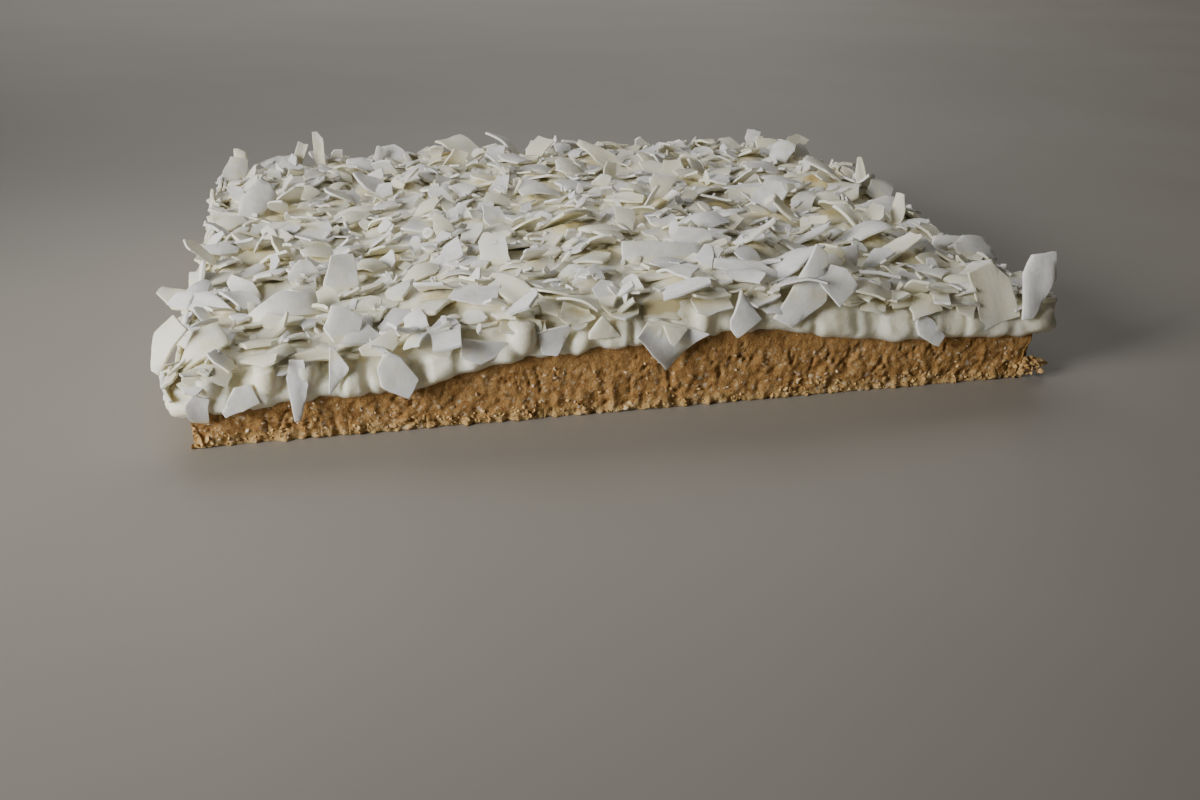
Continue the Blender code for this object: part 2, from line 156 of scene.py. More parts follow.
def cut_slab(width, crevice_shade, cell, rows, cuts):
    """A closed slab one unit high, in square cells, with its four cut sides in finer cells than its caps."""
    bm = bmesh.new()
    bmesh.ops.create_grid(bm, x_segments=round(width / cell), y_segments=round(crevice_shade / cell), size=0.5)
    bmesh.ops.scale(bm, vec=(width, crevice_shade, 1), verts=bm.verts)
    lifted, keep = bm.faces[:], True
    for _ in range(rows):
        raised = bmesh.ops.extrude_face_region(bm, geom=lifted, use_keep_orig=keep)["geom"]
        if not keep:
            bmesh.ops.delete(bm, geom=lifted, context="FACES_ONLY")
        lifted, keep = [g for g in raised if isinstance(g, bmesh.types.BMFace)], False
        risen = [g for g in raised if isinstance(g, bmesh.types.BMVert)]
        bmesh.ops.translate(bm, vec=(0, 0, 1 / rows), verts=risen)
    bm.normal_update()
    sides = [f for f in bm.faces if abs(f.normal.z) < 0.5]
    edges = list({e for f in sides for e in f.edges})
    bmesh.ops.subdivide_edges(bm, edges=edges, cuts=cuts, use_grid_fill=True)
    bmesh.ops.recalc_face_normals(bm, faces=bm.faces[:])
    return bm


def which_sides(x, y):
    """Whether a point is on an end and on a long side, each as -1, 0 or 1. A corner is on both."""
    at_end = math.copysign(1, x) if abs(abs(x) - BASE_WIDTH / 2) < 0.01 * MM else 0
    at_long = math.copysign(1, y) if abs(abs(y) - BASE_DEPTH / 2) < 0.01 * MM else 0
    return at_end, at_long


def finished(name, bm, finish, sharp=180.0):
    """Turns a mesh in the making into a piece with one finish, smooth up to an angle in degrees."""
    mesh = bpy.data.meshes.new(name)
    for face in bm.faces:
        face.smooth = True
    bm.to_mesh(mesh)
    bm.free()
    mesh.set_sharp_from_angle(angle=math.radians(sharp))
    mesh.materials.append(finish)
    piece = bpy.data.objects.new(name, mesh)
    bpy.context.scene.collection.objects.link(piece)
    return piece


def new_finish(name):
    """An empty material with its tree, its shader, and a place that reads the piece's own coordinates."""
    made = bpy.data.materials.new(name)
    made.use_nodes = True
    tree = made.node_tree
    place = tree.nodes.new("ShaderNodeTexCoord")
    return made, tree, tree.nodes["Principled BSDF"], place.outputs["Object"]


def reading(tree, name):
    """The value of one of the mesh's attributes."""
    made = tree.nodes.new("ShaderNodeAttribute")
    made.attribute_name = name
    return made.outputs["Fac"]


def lit_within(shader, weight, scale, radius):
    """Light soaks in: how much of it, how far in metres, and how far for each of red, green and blue."""
    shader.inputs["Subsurface Weight"].default_value = weight
    shader.inputs["Subsurface Scale"].default_value = scale
    shader.inputs["Subsurface Radius"].default_value = radius


def noisy(tree, place, per_mm, detail=3.0, rough=0.55):
    """Soft noise with about this many grains to the millimetre, from 0 to 1."""
    grain = tree.nodes.new("ShaderNodeTexNoise")
    grain.inputs["Scale"].default_value = per_mm * 1000
    grain.inputs["Detail"].default_value = detail
    grain.inputs["Roughness"].default_value = rough
    tree.links.new(place, grain.inputs["Vector"])
    return grain.outputs["Fac"]


def ramp(tree, fac, stops):
    """Colours or greys along a value: (position, colour or grey) stops."""
    made = tree.nodes.new("ShaderNodeValToRGB")
    band = made.color_ramp
    while len(band.elements) < len(stops):
        band.elements.new(0.5)
    for element, (position, colour) in zip(band.elements, stops):
        element.position = position
        element.color = (*colour, 1) if isinstance(colour, tuple) else (colour, colour, colour, 1)
    tree.links.new(fac, made.inputs["Fac"])
    return made.outputs["Color"]


def blended(tree, fac, first, second, kind="MIX"):
    """Two colours mixed by a value."""
    made = tree.nodes.new("ShaderNodeMix")
    made.data_type = "RGBA"
    made.blend_type = kind
    for socket, value in (("Factor", fac), ("A", first), ("B", second)):
        target = next(s for s in made.inputs if s.name == socket and s.enabled)
        if isinstance(value, bpy.types.NodeSocket):
            tree.links.new(value, target)
        else:
            target.default_value = value if socket == "Factor" else (*value, 1)
    return next(s for s in made.outputs if s.enabled)


def sums(tree, kind, first, second):
    """Two values put together by one sum."""
    made = tree.nodes.new("ShaderNodeMath")
    made.operation = kind
    for socket, value in zip(made.inputs, (first, second)):
        if isinstance(value, bpy.types.NodeSocket):
            tree.links.new(value, socket)
        else:
            socket.default_value = value
    return made.outputs["Value"]


def stretched(tree, place, scale):
    """The place, stretched by a scale along each axis."""
    made = tree.nodes.new("ShaderNodeMapping")
    made.inputs["Scale"].default_value = scale
    tree.links.new(place, made.inputs["Vector"])
    return made.outputs["Vector"]


def bumped(tree, height, shader, depth_mm, strength=1.0):
    """Fine relief, its depth in millimetres."""
    bump = tree.nodes.new("ShaderNodeBump")
    bump.inputs["Distance"].default_value = depth_mm * MM
    bump.inputs["Strength"].default_value = strength
    tree.links.new(height, bump.inputs["Height"])
    tree.links.new(bump.outputs["Normal"], shader.inputs["Normal"])


def flecks(tree, place, per_mm, size, some):
    """Irregular flecks, as a value, from cells to the millimetre, a fleck's size and the share with one."""
    wander = tree.nodes.new("ShaderNodeTexNoise")
    wander.inputs["Scale"].default_value = per_mm * 2300
    wander.inputs["Detail"].default_value = 2.0
    tree.links.new(place, wander.inputs["Vector"])
    bent = tree.nodes.new("ShaderNodeMix")
    bent.data_type = "VECTOR"
    bent.inputs["Factor"].default_value = 0.0006 / per_mm
    tree.links.new(place, bent.inputs[4])
    tree.links.new(wander.outputs["Color"], bent.inputs[5])
    cells = tree.nodes.new("ShaderNodeTexVoronoi")
    cells.inputs["Scale"].default_value = per_mm * 1000
    tree.links.new(bent.outputs[1], cells.inputs["Vector"])
    fleck = ramp(tree, cells.outputs["Distance"], [(size * 0.55, 1.0), (size, 0.0)])
    chosen = ramp(tree, cells.outputs["Color"], [(1 - some - 0.03, 0.0), (1 - some + 0.03, 1.0)])
    return blended(tree, 1.0, fleck, chosen, "MULTIPLY")


def biscuit_finish():
    made, tree, shader, place = new_finish("biscuit crumb")
    height = tree.nodes.new("ShaderNodeSeparateXYZ")
    tree.links.new(place, height.inputs["Vector"])
    crumb = noisy(tree, place, 1.3, 5.0, 0.68)
    colour = ramp(tree, crumb, [(0.34, CRUMB_DARK), (0.48, CRUMB_MID), (0.55, CRUMB_MID), (0.70, CRUMB_PALE)])
    broad = ramp(tree, noisy(tree, place, 0.14, 2.0), [(0.35, (0.88, 0.85, 0.80)), (0.65, 1.0)])
    colour = blended(tree, 1.0, colour, broad, "MULTIPLY")
    streaks = noisy(tree, stretched(tree, place, (1, 1, 0.16)), 1.1, 3.0)
    dragged = ramp(tree, streaks, [(0.34, (0.86, 0.82, 0.76)), (0.62, 1.0)])
    colour = blended(tree, 1.0, colour, dragged, "MULTIPLY")
    drop = sums(tree, "MULTIPLY", height.outputs["Z"], -330.0)
    low = sums(tree, "ADD", drop, sums(tree, "MULTIPLY", crumb, 1.6))
    foot = ramp(tree, low, [(0.05, 0.0), (0.80, 0.62)])
    colour = blended(tree, foot, colour, FOOT_COLOUR)
    for per_mm, size, some, fleck in CRUMB_FLECKS:
        colour = blended(tree, flecks(tree, place, per_mm, size, some), colour, fleck)
    tree.links.new(colour, shader.inputs["Base Color"])
    shine = ramp(tree, crumb, [(0.35, 0.88), (0.75, 0.60)])
    tree.links.new(shine, shader.inputs["Roughness"])
    shader.inputs["Specular IOR Level"].default_value = 0.32
    lit_within(shader, 0.10, 0.0010, (1.0, 0.55, 0.25))
    bumped(tree, noisy(tree, place, 2.4, 4.0, 0.7), shader, 0.34, 0.9)
    return made


biscuit = cut_slab(BASE_WIDTH, BASE_DEPTH, BASE_CELL, BASE_ROWS, BASE_CUTS)
for vertex in biscuit.verts:
    x, y, share = vertex.co
    end, long_side = which_sides(x, y)
    vertex.co.z = share * base_top(x, y)
    if end or long_side:
        out = crumb_relief(x, y, vertex.co.z, share)
        vertex.co.x += end * (out - UNDERCUT_END * (1 - share))
        vertex.co.y += long_side * (out - UNDERCUT_LONG * (1 - share))
biscuit_crumb = biscuit_finish()
biscuit_base = finished("biscuit_base_cut", biscuit, biscuit_crumb)
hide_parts("biscuit_base")
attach(biscuit_base, "root")

# ---------------------------------------------------------------------------------------------------------
# Lemon icing: butter icing with lemon, poured over the base to about 7 mm and cut through with it. The
# knife dragged its sides into soft upright lobes, some bulge past the cut, and its foot hangs over the base.

ICING_THICKNESS = 6.6 * MM
ICING_SWELL = 0.9 * MM
ICING_WAVE_LENGTH = 17 * MM
RIM_DROP = 0.9 * MM
ICING_OVERHANG = 0.9 * MM
END_OVERHANG = 1.4 * MM
SHOULDER = 0.6
BELLY = 0.8
SHOULDER_FALL = 3.0
DEEPEST_SWELL = -1.2
LOBE = 0.7 * MM
LOBE_SPACING = 4.2 * MM
LOBE_UPRIGHTNESS = 0.35
LOBE_FADE = 3
PILLOW = 3.0 * MM
PILLOW_SPACING = 3.9 * MM
PILLOW_UPRIGHTNESS = 0.22
PILLOW_SHIFT = 30 * MM
PILLOW_CREST = 0.38
PILLOW_LEVEL = 0.29
FLATTER_FROM = 5 * MM
FLATTER_OVER = 40 * MM
FLATTER = 0.4
DIMPLE = 0.16 * MM
DIMPLE_SIZE = 1.6 * MM
TUCK = 0.55 * MM
TUCK_SHARE = 0.16
TOP_LUMP = 0.55
TOP_LUMP_SIZE = 3.4 * MM
TOP_DIMPLE = 0.28
TOP_DIMPLE_SIZE = 1.5 * MM
RIM_WIDTH = 2.6 * MM
HANG = 0.35 * MM
HANG_MORE = 1.5 * MM
HANG_SPACING = 4.6 * MM
JOIN_GAP = 0.3 * MM
ICING_LUMPS = (
    ((71.4 * MM, -57.5 * MM, 12.6 * MM), 2.7 * MM),
    ((-19.1 * MM, -60.3 * MM, 14.8 * MM), 2.3 * MM),
    ((-70.9 * MM, -55.0 * MM, 10.6 * MM), 2.5 * MM),
    ((-66.0 * MM, -60.0 * MM, 10.4 * MM), 1.9 * MM),
    ((-57.5 * MM, -60.2 * MM, 11.0 * MM), 2.0 * MM),
    ((-51.8 * MM, -60.2 * MM, 11.6 * MM), 1.8 * MM),
)
LUMP_STRETCH = 1.45
ICING_CELL = 1.25 * MM
ICING_ROWS = 6
ICING_CUTS = 2
ICING_PALE = (0.855, 0.835, 0.715)
ICING_CREAM = (0.79, 0.76, 0.60)
# Painted shade: gold, then amber, for the icing in the crevices that the flakes shade.
ICING_CREVICE_SHADE = (0.70, 0.61, 0.33)
ICING_DEEP_CREVICE_SHADE = (0.50, 0.345, 0.105)


def icing_top(x, y):
    """Height of the icing's own surface under the flakes."""
    swell = noise.noise(Vector((x, y, 0)) / ICING_WAVE_LENGTH)
    return base_top(x, y) + ICING_THICKNESS + ICING_SWELL * swell


def rounded_side(share):
    """How far the icing's side stands out at a share of its height, as a share of its swell."""
    if share < SHOULDER:
        return BELLY * math.sin(share / SHOULDER * math.pi)
    return -SHOULDER_FALL * ((share - SHOULDER) / (1 - SHOULDER)) ** 2


def icing_side(x, y, z, share):
    """How far the icing's side stands out from the base's: soft upright lobes with creases between them."""
    lobe = noise.noise(Vector((x, y, LOBE_UPRIGHTNESS * z)) / LOBE_SPACING)
    crease = abs(noise.noise(Vector((x, y, PILLOW_UPRIGHTNESS * z + PILLOW_SHIFT)) / PILLOW_SPACING))
    pillow = min(crease, PILLOW_CREST) - PILLOW_LEVEL
    pillow *= mix(1.0, FLATTER, ease((x - FLATTER_FROM) / FLATTER_OVER))
    dimple = noise.noise(Vector((x, y, z)) / DIMPLE_SIZE)
    tuck = TUCK * (1 - ease(share / TUCK_SHARE))
    body = ICING_OVERHANG + ICING_SWELL * rounded_side(share) + LOBE * lobe * ease((1 - share) * LOBE_FADE)
    return body + PILLOW * pillow * ease((1.10 - share) * 2.4) + DIMPLE * dimple - tuck


def bulged(place, end, long_side):
    """The place, pushed out onto any lump of icing that covers it."""
    for centre, radius in ICING_LUMPS:
        from_centre = place - Vector(centre)
        from_centre.z /= LUMP_STRETCH
        for axis, side in ((0, end), (1, long_side)):
            across = from_centre.length_squared - from_centre[axis] ** 2
            if side and across < radius * radius and side * centre[axis] > 0:
                proud = side * centre[axis] + math.sqrt(radius * radius - across)
                place[axis] = side * max(side * place[axis], proud)
    return place


def icing_finish():
    made, tree, shader, place = new_finish("lemon icing")
    crevice_shade = reading(tree, "painted_crevice_shade")
    cream = noisy(tree, place, 0.22, 3.0)
    colour = ramp(tree, cream, [(0.35, ICING_CREAM), (0.65, ICING_PALE)])
    # Painted shade: the icing goes gold, then amber, the more the flakes over it shade it.
    crevice_shade_mix = ramp(tree, crevice_shade, [(0.0, 0.15), (0.35, 0.85), (1.0, 1.0)])
    depth_shade = ramp(tree, crevice_shade, [(0.45, ICING_CREVICE_SHADE), (1.0, ICING_DEEP_CREVICE_SHADE)])
    colour = blended(tree, crevice_shade_mix, colour, depth_shade)
    tree.links.new(colour, shader.inputs["Base Color"])
    shine = ramp(tree, noisy(tree, place, 0.7, 3.0), [(0.35, 0.36), (0.7, 0.58)])
    tree.links.new(shine, shader.inputs["Roughness"])
    shader.inputs["Specular IOR Level"].default_value = 0.40
    lit_within(shader, 0.45, 0.0028, (1.0, 0.82, 0.48))
    bumped(tree, noisy(tree, place, 0.9, 4.0, 0.6), shader, 0.26, 0.55)
    return made


icing = cut_slab(BASE_WIDTH, BASE_DEPTH, ICING_CELL, ICING_ROWS, ICING_CUTS)
for vertex in icing.verts:
    x, y, share = vertex.co
    end, long_side = which_sides(x, y)
    rim = min(BASE_WIDTH / 2 - abs(x), BASE_DEPTH / 2 - abs(y))
    if share > 0.999:
        lump = noise.noise(Vector((x, y, 0)) / TOP_LUMP_SIZE)
        dimple = noise.noise(Vector((x, y, 7)) / TOP_DIMPLE_SIZE)
        uneven = (TOP_LUMP * lump + TOP_DIMPLE * dimple) * MM
        vertex.co.z = icing_top(x, y) + uneven - RIM_DROP * (1 - ease(rim / RIM_WIDTH))
    else:
        hang = HANG + HANG_MORE * max(0.0, noise.noise(Vector((x, y, 0)) / HANG_SPACING))
        foot = base_top(x, y) - (hang if end or long_side else -JOIN_GAP)
        vertex.co.z = mix(foot, icing_top(x, y) - RIM_DROP, share)
    if end or long_side:
        out = icing_side(x, y, vertex.co.z, share)
        vertex.co.x += end * (out + END_OVERHANG)
        vertex.co.y += long_side * out
        vertex.co = bulged(vertex.co, end, long_side)
lemon_icing_finish = icing_finish()
lemon_icing = finished("lemon_icing_spread", icing, lemon_icing_finish)
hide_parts("lemon_icing")
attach(lemon_icing, "root")

# ---------------------------------------------------------------------------------------------------------
# Large coconut flakes: chips of shaved, dried coconut, half a millimetre thick or a little more, broken
# along their edges. They were scattered on the wet icing, and the cut pressed some flat against the sides.

FLAKE_SEED = 41
FLAKE_THICKNESS = 0.7 * MM
CORNERS = ((1, 1), (1, -1), (-1, -1), (-1, 1))
CORNERS_BROKEN = (2, 2, 3)
BREAK_SLOPE = (18, 72)
BREAK_DEPTH = (0.16, 0.34)
BEND = (-0.09, 0.13)
SUNK = 0.7 * MM
STANDING_SUNK = 1.4 * MM
HANGING_CLEARANCE = 0.55 * MM
FRONT = -90
TOP_CELLS = (12, 9)
TOP_LENGTH = (7.5 * MM, 12.0 * MM)
TOP_SLIMNESS = (0.5, 0.75)
TOP_JITTER = 0.3
TOP_DIPS = (4, 7, 10, 12, 15, 20, 26, 34)
DIP_SPREAD = 3
ROLL_SPREAD = 9
FREE_REACH = 7.0 * MM
SIDE_SPACING = 11 * MM
SIDE_LENGTH = (5.0 * MM, 9.0 * MM)
SIDE_SLIMNESS = (0.55, 0.8)
SIDE_JITTER = 0.25
SIDE_HEIGHT = (2.2 * MM, 6.4 * MM)
SIDE_LEAN = (0, 22)
SIDE_SUNK = 0.3 * MM
CURL = (-0.05, 0.09)
TWIST = (-0.05, 0.05)
EDGE_WAVE = (0.055, 0.075)
EDGE_NICK = (0.03, 0.04)
BUCKLE = 0.025
RIM_SOFTNESS = 0.1 * MM
RIM_ANGLE = 50
CLING = 1.5 * MM
CLING_FADE = 2.0 * MM
CLING_ON_SIDES = 2.2
LEVEL_ENOUGH = 0.45
LEAST_LEVEL = 0.15
LARGE_THICKNESS = (0.55 * MM, 0.75 * MM)
LARGE_GRID = (8, 6)
LARGE_ICED = (0.0, 0.2, 0.45)
PLACED_TONES = (0.1, 0.8)
PLACED_WAVE = 0.45
FLAKE_SHARP = 40.0
FLAKE_LILAC = (0.675, 0.662, 0.655)
FLAKE_WHITE = (0.780, 0.772, 0.738)
FLAKE_BRIGHT = (0.845, 0.835, 0.80)
FLAKE_CREAM = (0.815, 0.775, 0.655)
FILM_PALE = (0.79, 0.75, 0.57)
# Painted shade: the film goes from pale to this dark gold, mostly on the parts of flakes sunk below the
# heap's level.
FILM_DEPTH_SHADE = (0.58, 0.50, 0.27)

# How a flake broke: each break by the way it faces, in degrees, and how far it is from the middle of a flake
# one unit long and wide.
OUTLINES = {
    "bar": ((140, 0.42), (-15, 0.46)),
    "block": ((130, 0.48),),
    "chip": ((60, 0.38), (-150, 0.45)),
    "kite": ((40, 0.38), (-145, 0.36)),
    "round": ((40, 0.45), (140, 0.45), (-45, 0.46), (-140, 0.48)),
    "slant": ((40, 0.28), (135, 0.42)),
    "hook": ((140, 0.24), (70, 0.44)),
    "blade": ((50, 0.30), (140, 0.27)),
    "fang": ((-140, 0.27), (45, 0.50)),
    "tooth": ((30, 0.24), (150, 0.32)),
    "heart": ((30, 0.20), (55, 0.30)),
}

# Flakes that stand out on top, left to right and then along the back: place, length and width in mm; the way
# the face leans, its tilt, and the flake's turn in its own plane, in degrees; the bend as a share of the
# length; and the outline.
STANDING_FLAKES = (
    (-73, -25, 9, 5, -110, 20, 0, -0.08, "kite"),
    (-72, -54, 8.5, 5, -130, 60, 65, 0.04, "hook"),
    (-69, -20, 6, 4, -100, 45, 180, 0.03, "chip"),
    (-67, -34, 16, 4.5, -120, 35, -10, 0.06, "slant"),
    (-67, -55, 8.5, 5, -110, 50, 40, 0.07, "hook"),
    (-62, -28, 8.5, 4, -105, 35, -25, 0.08, "kite"),
    (-62, 17, 12, 5.5, -80, 40, 50, 0.05, "bar"),
    (-59, -55, 7.5, 3, -90, 30, -10, 0.02, "hook"),
    (-56, -40, 12.5, 5, -95, 50, 10, 0.12, "hook"),
    (-55, -9, 14, 4, -85, 25, 0, 0.03, "bar"),
    (-52, -25, 5.5, 5.5, -85, 70, -5, 0.03, "round"),
    (-52, 18, 4.5, 4, -85, 60, 0, 0.04, "round"),
    (-49, -59, 10, 2.5, -90, 30, 0, 0.03, "slant"),
    (-46, -53, 7, 5.5, -85, 40, 70, 0.04, "bar"),
    (-46, -29, 8, 6, -80, 60, 90, 0.05, "chip"),
    (-18, -53, 12, 4.5, -105, 25, -45, 0.0, "block"),
    (-10, -32, 7.5, 4, -90, 30, -10, 0.02, "hook"),
    (-7, -49, 5, 4.5, -90, 45, 90, 0.02, "chip"),
    (9, -40, 15, 5.5, -90, 40, 175, 0.05, "block"),
    (17, -35, 11.5, 5, -90, 35, 165, 0.03, "bar"),
    (20, -53, 12.5, 5, -95, 25, -15, 0.05, "kite"),
    (21, -20, 8, 5, -85, 40, -15, 0.05, "hook"),
    (43, -41, 6, 6, -85, 50, -50, 0.03, "tooth"),
    (48, -54, 9.5, 4.5, -90, 50, 10, 0.02, "slant"),
    (53, -20, 10, 3, -60, 40, -90, 0.06, "bar"),
    (59, -39, 9, 5.5, -100, 25, -60, 0.04, "chip"),
    (66, -8, 9, 6, -80, 30, 190, 0.04, "chip"),
    (67, -33, 7.5, 5.5, -85, 30, 170, 0.04, "bar"),
    (69, 12, 9, 2.5, -100, 80, -75, 0.06, "kite"),
    (70, -36, 8, 6, -75, 35, -5, 0.06, "block"),
    (-67, 57, 7, 3, -90, 70, 90, 0.04, "bar"),
    (-54, 56, 8.5, 2.5, -80, 60, 65, 0.04, "block"),
    (-49, 58, 10, 2.5, -90, 75, 90, 0.02, "bar"),
    (-31, 57, 10, 5, -85, 50, -20, 0.05, "slant"),
    (15, 40, 12, 4.5, -80, 40, 140, 0.05, "slant"),
    (38, 54, 9, 5, -85, 35, 0, 0.03, "block"),
    (64, 52, 10, 6, -85, 45, 0, 0.05, "chip"),
)

# Flakes pressed onto the front cut, left to right: place along, out and up, length and width in millimetres;
# tilt and turn in degrees; the bend as a share of the length; and the outline.
PRESSED_FLAKES = (
    (-62, -61, 8.3, 5.5, 4, 84, 20, 0.02, "hook"),
    (-53, -61.3, 9, 9.5, 3, 86, 95, 0.0, "fang"),
    (-47, -61, 11.5, 7, 3, 82, 265, 0.02, "tooth"),
    (-40.5, -60, 14, 6, 3.5, 60, 205, 0.02, "slant"),
    (-38.5, -61.3, 10.3, 6.5, 5.5, 84, -30, 0.03, "chip"),
    (-32, -60, 14, 6.5, 5, 72, 205, 0.02, "slant"),
    (-25, -61, 12.5, 7.5, 4, 80, 170, 0.02, "hook"),
    (-14, -61, 13.5, 5, 5, 86, 190, 0.02, "hook"),
    (-6.5, -61, 15.5, 5, 3.5, 84, 0, 0.02, "tooth"),
    (4.5, -61.5, 13.5, 9, 8, 88, 40, -0.14, "heart"),
    (4.5, -61.5, 14, 3.5, 3.5, 74, 50, 0.0, "tooth"),
    (4, -58.5, 17.5, 7, 5, 55, -10, 0.05, "bar"),
    (15.5, -61, 16, 6, 5, 82, 125, 0.03, "heart"),
    (28, -60.2, 18.5, 13.5, 7, 76, 237, 0.02, "blade"),
    (32, -60.8, 20, 6, 5, 66, -53, 0.03, "block"),
    (49, -61.3, 11, 6, 3.5, 84, -30, 0.02, "chip"),
    (60.5, -60.2, 16, 10.5, 7, 78, -72, 0.02, "block"),
    (68.5, -60.4, 17, 11, 6, 82, 93, 0.03, "fang"),
)


def spin(degrees, axis):
    return Matrix.Rotation(math.radians(degrees), 4, axis)


def broken(outline):
    """An outline's breaks, each as a point on it and the way it faces, on a flake one unit long and wide."""
    normals = [Vector((math.cos(math.radians(way)), math.sin(math.radians(way)), 0)) for way, _ in outline]
    return [(normal * reach, normal) for normal, (_, reach) in zip(normals, outline)]


def flake_rule(draw):
    """The corners that broke off a scattered flake, and its bend."""
    snapped = []
    for corner in draw.sample(CORNERS, 3)[: draw.choice(CORNERS_BROKEN)]:
        slope = math.radians(draw.uniform(*BREAK_SLOPE))
        faces = Vector((corner[0] * math.cos(slope), corner[1] * math.sin(slope), 0))
        reach = faces.dot(Vector((corner[0] / 2, corner[1] / 2, 0))) - draw.uniform(*BREAK_DEPTH)
        snapped.append((faces * reach, faces))
    return snapped, draw.uniform(*BEND)


def coconut_flake(draw, length, width, snapped, bend, thickness, cells, wave=1.0):
    """One flake flat at the origin, its length along X: snapped corners, wavy edges and a slight curl."""
    ripple, curl, twist = draw.uniform(0, 50), draw.uniform(*CURL), draw.uniform(*TWIST)
    bm = bmesh.new()
    bmesh.ops.create_grid(bm, x_segments=cells[0], y_segments=cells[1], size=0.5)
    for reach, normal in snapped:
        geom = bm.verts[:] + bm.edges[:] + bm.faces[:]
        bmesh.ops.bisect_plane(bm, geom=geom, plane_co=reach, plane_no=normal, clear_outer=True)
    bmesh.ops.dissolve_degenerate(bm, dist=0.02, edges=bm.edges[:])
    for vertex in bm.verts:
        u, v = vertex.co.x, vertex.co.y
        seen = Vector((u * 1.7, v * 1.7, ripple))
        edge, nick = 2 * max(abs(u), abs(v)) * wave, noise.noise(seen * 5)
        u += (EDGE_WAVE[0] * noise.noise(seen * 1.6) + EDGE_NICK[0] * nick) * edge
        v += (EDGE_WAVE[1] * noise.noise(seen * 1.6 + Vector((9, 9, 9))) + EDGE_NICK[1] * nick) * edge
        rise = bend * length * (1 - 4 * u * u) + curl * width * (1 - 4 * v * v) + twist * length * u * v * 4
        vertex.co = (u * length, v * width, rise + BUCKLE * length * noise.noise(seen * 2))
    raised = bmesh.ops.extrude_face_region(bm, geom=bm.faces[:], use_keep_orig=True)["geom"]
    for vertex in (g for g in raised if isinstance(g, bmesh.types.BMVert)):
        seen = vertex.co / (4 * MM) + Vector((ripple, 0, 0))
        vertex.co.z += thickness * (0.86 + 0.3 * noise.noise(seen))
    bmesh.ops.recalc_face_normals(bm, faces=bm.faces[:])
    return bm


def soften_rim(bm):
    """Takes the sharpness off a flake's rim."""
    rim = [e for e in bm.edges if e.calc_face_angle(0) > math.radians(RIM_ANGLE)]
    bmesh.ops.bevel(bm, geom=rim, offset=RIM_SOFTNESS, segments=1, profile=0.5, affect="EDGES", material=-1)


def side_reach(side):
    """How long a side of the base is: 0 front, 1 right, 2 back, 3 left."""
    return BASE_DEPTH if side % 2 else BASE_WIDTH


def side_edge(side, along, out=0.0):
    """The place along a side of the base, or out from it."""
    return spin(90 * side, "Z") @ Vector((along, -side_reach(side + 1) / 2 - out, 0))


def lean_on_side(side, along, height, turn, lean, sunk):
    """Where a flake goes that leans on a side at a place along it. The turns are in degrees."""
    edge = side_edge(side, along)
    share = min(max((height - base_top(edge.x, edge.y)) / ICING_THICKNESS, 0.0), 1.0)
    swell = ICING_SWELL * max(rounded_side(share), DEEPEST_SWELL)
    centre = side_edge(side, along, ICING_OVERHANG + swell + (END_OVERHANG if side % 2 else 0) - sunk)
    facing = spin(90 * side, "Z") @ spin(90 - lean, "X")
    return Matrix.Translation((centre.x, centre.y, height)) @ facing @ spin(turn, "Z")


def turned(place, heading, dip, roll):
    """A pose at a place: rolled about its length, dipped at its leading end, then headed. In degrees."""
    return Matrix.Translation(place) @ spin(heading, "Z") @ spin(dip, "Y") @ spin(roll, "X")


def leaning(place, faces, tilt, turn):
    """A pose at a place: turned in its own plane, then tilted so that its face leans one way. In degrees."""
    return Matrix.Translation(place) @ spin(faces + 90, "Z") @ spin(tilt, "X") @ spin(turn, "Z")


def standing_flakes():
    """The flakes that stand out on top, each with its size, breaks, bend and pose. Their feet are sunk."""
    for x, y, length, width, faces, tilt, turn, bend, outline in STANDING_FLAKES:
        reach = length * abs(math.sin(math.radians(turn))) + width * abs(math.cos(math.radians(turn)))
        half_rise = reach / 2 * math.sin(math.radians(tilt)) * MM
        height = icing_top(x * MM, y * MM) + half_rise - STANDING_SUNK
        place = Vector((x * MM, y * MM, height))
        yield length * MM, width * MM, broken(OUTLINES[outline]), bend, leaning(place, faces, tilt, turn)


def pressed_flakes():
    """The flakes that stand out on the front cut."""
    for x, y, z, length, width, tilt, turn, bend, outline in PRESSED_FLAKES:
        place = Vector((x, y, z)) * MM
        yield length * MM, width * MM, broken(OUTLINES[outline]), bend, leaning(place, FRONT, tilt, turn)


def top_flakes(taken):
    """One flake in each cell of an even grid on top, away from taken places. The lowest edge is sunk."""
    columns, rows = TOP_CELLS
    for index in range(columns * rows):
        draw = random.Random(FLAKE_SEED * 1000 + index)
        length = draw.uniform(*TOP_LENGTH)
        width = length * draw.uniform(*TOP_SLIMNESS)
        x = ((index % columns + 0.5 + draw.uniform(-TOP_JITTER, TOP_JITTER)) / columns - 0.5) * BASE_WIDTH
        y = ((index // columns + 0.5 + draw.uniform(-TOP_JITTER, TOP_JITTER)) / rows - 0.5) * BASE_DEPTH
        heading = draw.uniform(0, 360)
        dip = draw.choice(TOP_DIPS) + draw.uniform(-DIP_SPREAD, DIP_SPREAD)
        roll = draw.uniform(-ROLL_SPREAD, ROLL_SPREAD)
        half_rise = length * abs(math.sin(math.radians(dip))) + width * abs(math.sin(math.radians(roll)))
        place = Vector((x, y, icing_top(x, y) + half_rise / 2 - SUNK))
        if min((place.xy - other.xy).length for other in taken) > FREE_REACH:
            yield length, width, *flake_rule(draw), turned(place, heading, dip, roll)


def side_flakes():
    """The flakes on the right, back and left sides, evenly spaced."""
    for side in (1, 2, 3):
        reach = side_reach(side)
        count = round(reach / SIDE_SPACING)
        for index in range(count):
            draw = random.Random(FLAKE_SEED * 2000 + side * 100 + index)
            length = draw.uniform(*SIDE_LENGTH)
            width = length * draw.uniform(*SIDE_SLIMNESS)
            along = ((index + 0.5 + draw.uniform(-SIDE_JITTER, SIDE_JITTER)) / count - 0.5) * reach
            spot = side_edge(side, along)
            height = base_top(spot.x, spot.y) + draw.uniform(*SIDE_HEIGHT)
            turn, lean = draw.uniform(0, 180), draw.uniform(*SIDE_LEAN)
            yield length, width, *flake_rule(draw), lean_on_side(side, along, height, turn, lean, SIDE_SUNK)


